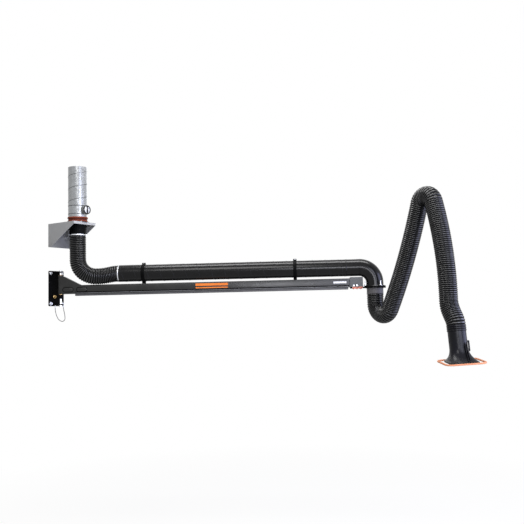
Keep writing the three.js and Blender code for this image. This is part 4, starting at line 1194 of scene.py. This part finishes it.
def addCuff(spec):
    inner, outer, low, high, lip, edge = spec.inner, spec.outer, spec.low, spec.high, spec.lip, spec.edge
    waist = outer - spec.waist
    cuff = lathe("cuff_skin", [
        (inner, low), (outer - edge, low), (outer, low + edge), (outer, low + lip),
        (waist, low + lip + spec.slope), (waist, high - lip - spec.slope), (outer, high - lip),
        (outer, high - edge), (outer - edge, high), (inner, high), (inner, low),
    ])
    dress(smooth(seatIn(cuff, armFrame)), "arm_base", "grey_plastic", "cuffPlastic", "hose_cuff")


addCuff(cuffSet)

# hood: collar, flared shell from a round neck to a squared mouth, fins, rim hoop, lever
hoodSet = Sizes(
    neck=0.083, neckLength=0.143, hold=0.085, shift=0.038, drop=0.268, tilt=math.radians(12), depth=0.250,
    width=0.270, power=5, lip=0.014, wall=0.003, sides=80, neckRings=6, flareRings=18, yaw=math.radians(-21),
)
hoodFrame = armFrame @ Matrix.Translation(neckTop) @ spin(-armLine.hoodLean, "Y")
turnedFrame = hoodFrame @ spin(hoodSet.yaw, "Z")
mouthFrame = turnedFrame @ shift(hoodSet.shift, 0, -hoodSet.drop) @ spin(hoodSet.tilt, "Y")


# t runs from -1 to 0 down the neck, to 1 down the flare and to 2 down the lip
def hoodPoint(spec, angle, t):
    c, s = math.cos(angle), math.sin(angle)
    neck = Vector((spec.neck * c, spec.neck * s, -spec.neckLength * min(1, t + 1)))
    if t <= 0:
        return neck
    squared = lambda value: math.copysign(abs(value) ** (2 / spec.power), value)
    turn = Matrix.Rotation(spec.tilt, 3, "Y")
    mouth = turn @ Vector((spec.depth / 2 * squared(c), spec.width / 2 * squared(s), 0))
    mouth += Vector((spec.shift, 0, -spec.drop))
    pull = neck - Vector((0, 0, spec.hold))
    u = min(1, t)
    point = neck * (1 - u) ** 2 + pull * 2 * u * (1 - u) + mouth * u * u
    return point + turn @ Vector((0, 0, -spec.lip * max(0, t - 1)))


def addHoodShell(spec):
    stops = [i / spec.neckRings - 1 for i in range(spec.neckRings)]
    stops += [i / spec.flareRings for i in range(spec.flareRings + 1)] + [2.0]
    shell = openTube("hood_skin", spec.sides, 1.0, stops)
    for spot in shell.data.vertices:
        spot.co = hoodPoint(spec, math.atan2(spot.co.y, spot.co.x), spot.co.z)
    thicken(cleanShell(shell), spec.wall)
    smooth(seatIn(shell, turnedFrame), 40)
    dress(shell, "hood", "black_plastic", "hoodPlastic", "hood_shell")


# two fins side by side on the front; each follows the shell at its own distance from the axis
finSet = Sizes(
    turn=math.radians(-9), aside=(0.044, 0.061), thick=0.006, edge=0.0012, start=-0.30, end=0.97, stand=0.018,
    steps=20, sunk=0.003, samples=240, rise=4, fall=3, foot=0.3,
)


def shellFront(spec, aside, t):
    ahead = Matrix.Rotation(-spec.turn, 3, "Z")
    ring = [ahead @ hoodPoint(hoodSet, 2 * math.pi * i / spec.samples, t) for i in range(spec.samples)]
    found = None
    for a, b in zip(ring, ring[1:] + ring[:1]):
        if (a.y - aside) * (b.y - aside) <= 0 and a.y != b.y:
            point = a.lerp(b, (aside - a.y) / (b.y - a.y))
            if found is None or point.x > found.x:
                found = point
    return found


def addFins(spec):
    fins = []
    for aside in spec.aside:
        inner, outer = [], []
        for i in range(spec.steps + 1):
            share = i / spec.steps
            point = shellFront(spec, aside, spec.start + (spec.end - spec.start) * share)
            stand = spec.stand * min(1, share * spec.rise) * min(1, spec.foot + (1 - share) * spec.fall)
            inner.append((point.x - spec.sunk, point.z))
            outer.append((point.x + stand, point.z))
        fin = outlinePlate("fin", inner + outer[::-1], spec.thick, spec.edge)
        fins.append(seatIn(fin, spin(spec.turn, "Z") @ shift(0, aside, 0)))
    dress(seatIn(joinAll("hood_fins", fins), turnedFrame), "hood", "black_plastic", "hoodPlastic")


collarSet = Sizes(
    inner=0.066, outer=0.085, rib=0.088, low=0.0004, high=0.060, ribs=(0.010, 0.030, 0.050), band=0.012,
    sunk=0.001, edge=0.0015,
)


def addHoodCollar(spec):
    inner, outer, low, high = spec.inner, spec.outer, spec.low, spec.high
    collar = lathe("hood_collar_skin", [
        (inner, low), (outer, low), (outer, high), (inner, high), (inner, low)])
    smooth(seatIn(collar, hoodFrame))
    # the collar's body between the raised bands is darker plastic, painted shade in the grooves between the bands
    dress(collar, "hood_mount", "black_plastic", "collarShadePlastic", "hood_collar")
    half = spec.band / 2
    bands = [bandRing("band", outer - spec.sunk, spec.rib, middle - half, middle + half, spec.edge)
             for middle in spec.ribs]
    bands = seatIn(joinAll("hood_collar_bands", bands), hoodFrame)
    dress(bands, "hood_mount", "black_plastic", "hoodPlastic")


# outer and inner loop: depth, width, corner radius
rimSet = Sizes(
    outer=(0.294, 0.392, 0.070), inner=(0.2506, 0.352, 0.046), thick=0.014, steps=10, edge=0.005,
    edgeFrom=math.radians(50),
)


def roundedLoop(depth, width, corner, steps):
    points = []
    for quarter, (x, y) in enumerate(((1, 1), (-1, 1), (-1, -1), (1, -1))):
        for i in range(steps + 1):
            angle = math.pi / 2 * (quarter + i / steps)
            points.append(Vector((x * (depth / 2 - corner) + corner * math.cos(angle),
                                  y * (width / 2 - corner) + corner * math.sin(angle), 0)))
    return points


def addRim(spec):
    loops = []
    for size in (spec.outer, spec.inner):
        loop = makeCurve("rim_loop", roundedLoop(*size, spec.steps))
        loop.data.splines[0].use_cyclic_u = True
        loops.append(curveToMesh("rim_loop", loop))
    rim = joinAll("rim_skin", loops)
    editAll("EDGE")
    bpy.ops.mesh.bridge_edge_loops()
    bpy.ops.mesh.select_all(action="SELECT")
    extrude(0, 0, -spec.thick)
    roundEdges(cleanShell(rim), spec.edge, 4, angle_limit=spec.edgeFrom)
    smooth(seatIn(rim, mouthFrame), 45)
    dress(rim, "hood", "orange_rubber", "rimRubber", "hood_rim")


leverSet = Sizes(
    top=-0.093, length=0.084, wide=0.016, near=0.094, far=0.106, edge=0.003, neck=0.083, cap=0.009,
    capFoot=-0.004, capEdge=0.001, capHigh=0.002, capGap=0.001, steps=28,
)


def addLever(spec):
    points = [(z, x) for x, z in obround(spec.length + spec.wide, spec.wide)]
    lever = outlinePlate("lever_skin", points, spec.far - spec.near, spec.edge, 3)
    seatIn(lever, turnedFrame @ shift(0, (spec.near + spec.far) / 2, spec.top - spec.length / 2))
    dress(lever, "hood_damper", "black_plastic", "hoodPlastic", "hood_lever")
    caps = []
    for side, reach in ((-1, spec.capHigh), (1, spec.near - spec.neck - spec.capGap)):
        cap = lathe("cap", postProfile(spec.cap, spec.capFoot, reach, spec.capEdge), spec.steps)
        seatIn(cap, shift(0, side * spec.neck, spec.top) @ axisTurn((0, side, 0)))
        caps.append(smooth(cap))
    dress(seatIn(joinAll("hood_caps", caps), turnedFrame), "hood", "black_plastic", "hoodPlastic")


addHoodCollar(collarSet)
addHoodShell(hoodSet)
addFins(finSet)
addRim(rimSet)
addLever(leverSet)
bpy.data.objects.remove(boltPattern)
print("stage: hood")

# studio: pale floor, soft lamps, white surroundings
studioSet = Sizes(
    floor=-2.35,
    floorSize=80.0,
    floorGrey=(0.5, 0.5, 0.5, 1),
    shadowPlace=(2.2, 0.8, 0.0),
    shadowReach=(1.5, 4.5),
    shadowShare=0.09,
    ambient=0.22,
    white=(1, 1, 1, 1),
    lamps=[  # name, place, aim, size, power, colour
        ("key", (4.5, -5.0, 4.5), (2.2, 1.0, 0.1), (3.0, 3.0), 300, (1.0, 0.99, 0.98)),
        ("front", (7.1, -5.2, 0.5), (2.4, 1.2, 0.0), (2.2, 1.6), 190, (0.92, 0.93, 1.0)),
        ("window", (8.05, -1.05, 0.75), (3.6, 1.3, 0.45), (3.2, 3.6), 340, (0.8, 0.83, 1.0)),
        ("side", (6.1, 2.37, 0.0), (4.0, 1.3, -0.1), (2.2, 3.0), 150, (0.62, 0.66, 1.0)),
        ("overhead", (2.4, 1.15, 3.3), (2.4, 1.15, 0.1), (4.6, 1.1), 240, (1.0, 1.0, 1.0)),
        ("back", (-1.5, 5.5, 2.5), (2.0, 1.0, 0.0), (4.0, 4.0), 70, (1.0, 1.0, 1.0)),
    ],
)


# the floor glows white for the camera; near the object it takes a share of the lamps' light, and shadow
def addFloor(spec):
    clearSelection()
    bpy.ops.mesh.primitive_plane_add(size=spec.floorSize, location=(0, 0, spec.floor))
    floor = called("floor")
    finish = Finish("pale floor")
    seen = finish.seen()
    level = finish.make("ShaderNodeVectorMath", {"operation": "MULTIPLY"}, {0: finish.place(), 1: (1, 1, 0)})
    away = finish.make(
        "ShaderNodeVectorMath", {"operation": "DISTANCE"}, {0: level, 1: spec.shadowPlace}, "Value")
    near = finish.between(away, *spec.shadowReach, spec.shadowShare, 0.0)
    glow = finish.make("ShaderNodeEmission", {}, {"Color": spec.white, "Strength": 1.0})
    matt = finish.make("ShaderNodeBsdfDiffuse", {}, {"Color": spec.floorGrey})
    both = finish.make("ShaderNodeMixShader", {}, {0: seen * (1 - near), 1: matt, 2: glow})
    floor.data.materials.append(finish.end(both))


def addWorld(spec):
    room = Finish("white room", bpy.data.worlds)
    strength = room.between(room.seen(), 0.0, 1.0, spec.ambient, 1.0)
    sky = room.make("ShaderNodeBackground", {}, {"Color": spec.white, "Strength": strength})
    scene.world = room.end(sky, "ShaderNodeOutputWorld")


# lamps keep their first side level across their aim; one that faces straight down keeps it along the boom
def addLamps(spec):
    along = (boomFrame.to_3x3() @ Vector((1, 0, 0))).normalized()
    for name, place, aim, size, power, colour in spec.lamps:
        data = bpy.data.lights.new(name, "AREA")
        data.shape = "RECTANGLE"
        data.size, data.size_y = size
        data.energy, data.color = power, colour
        lamp = linked(name, data)
        lamp.visible_camera = False
        back = (Vector(place) - Vector(aim)).normalized()
        side = Vector((0, 0, 1)).cross(back)
        side = along if side.length < 0.1 else side.normalized()
        lamp.matrix_world = standing(place, side, back.cross(side), back)


addFloor(studioSet)
addWorld(studioSet)
addLamps(studioSet)
print("stage: studio")

bpy.context.view_layer.update()
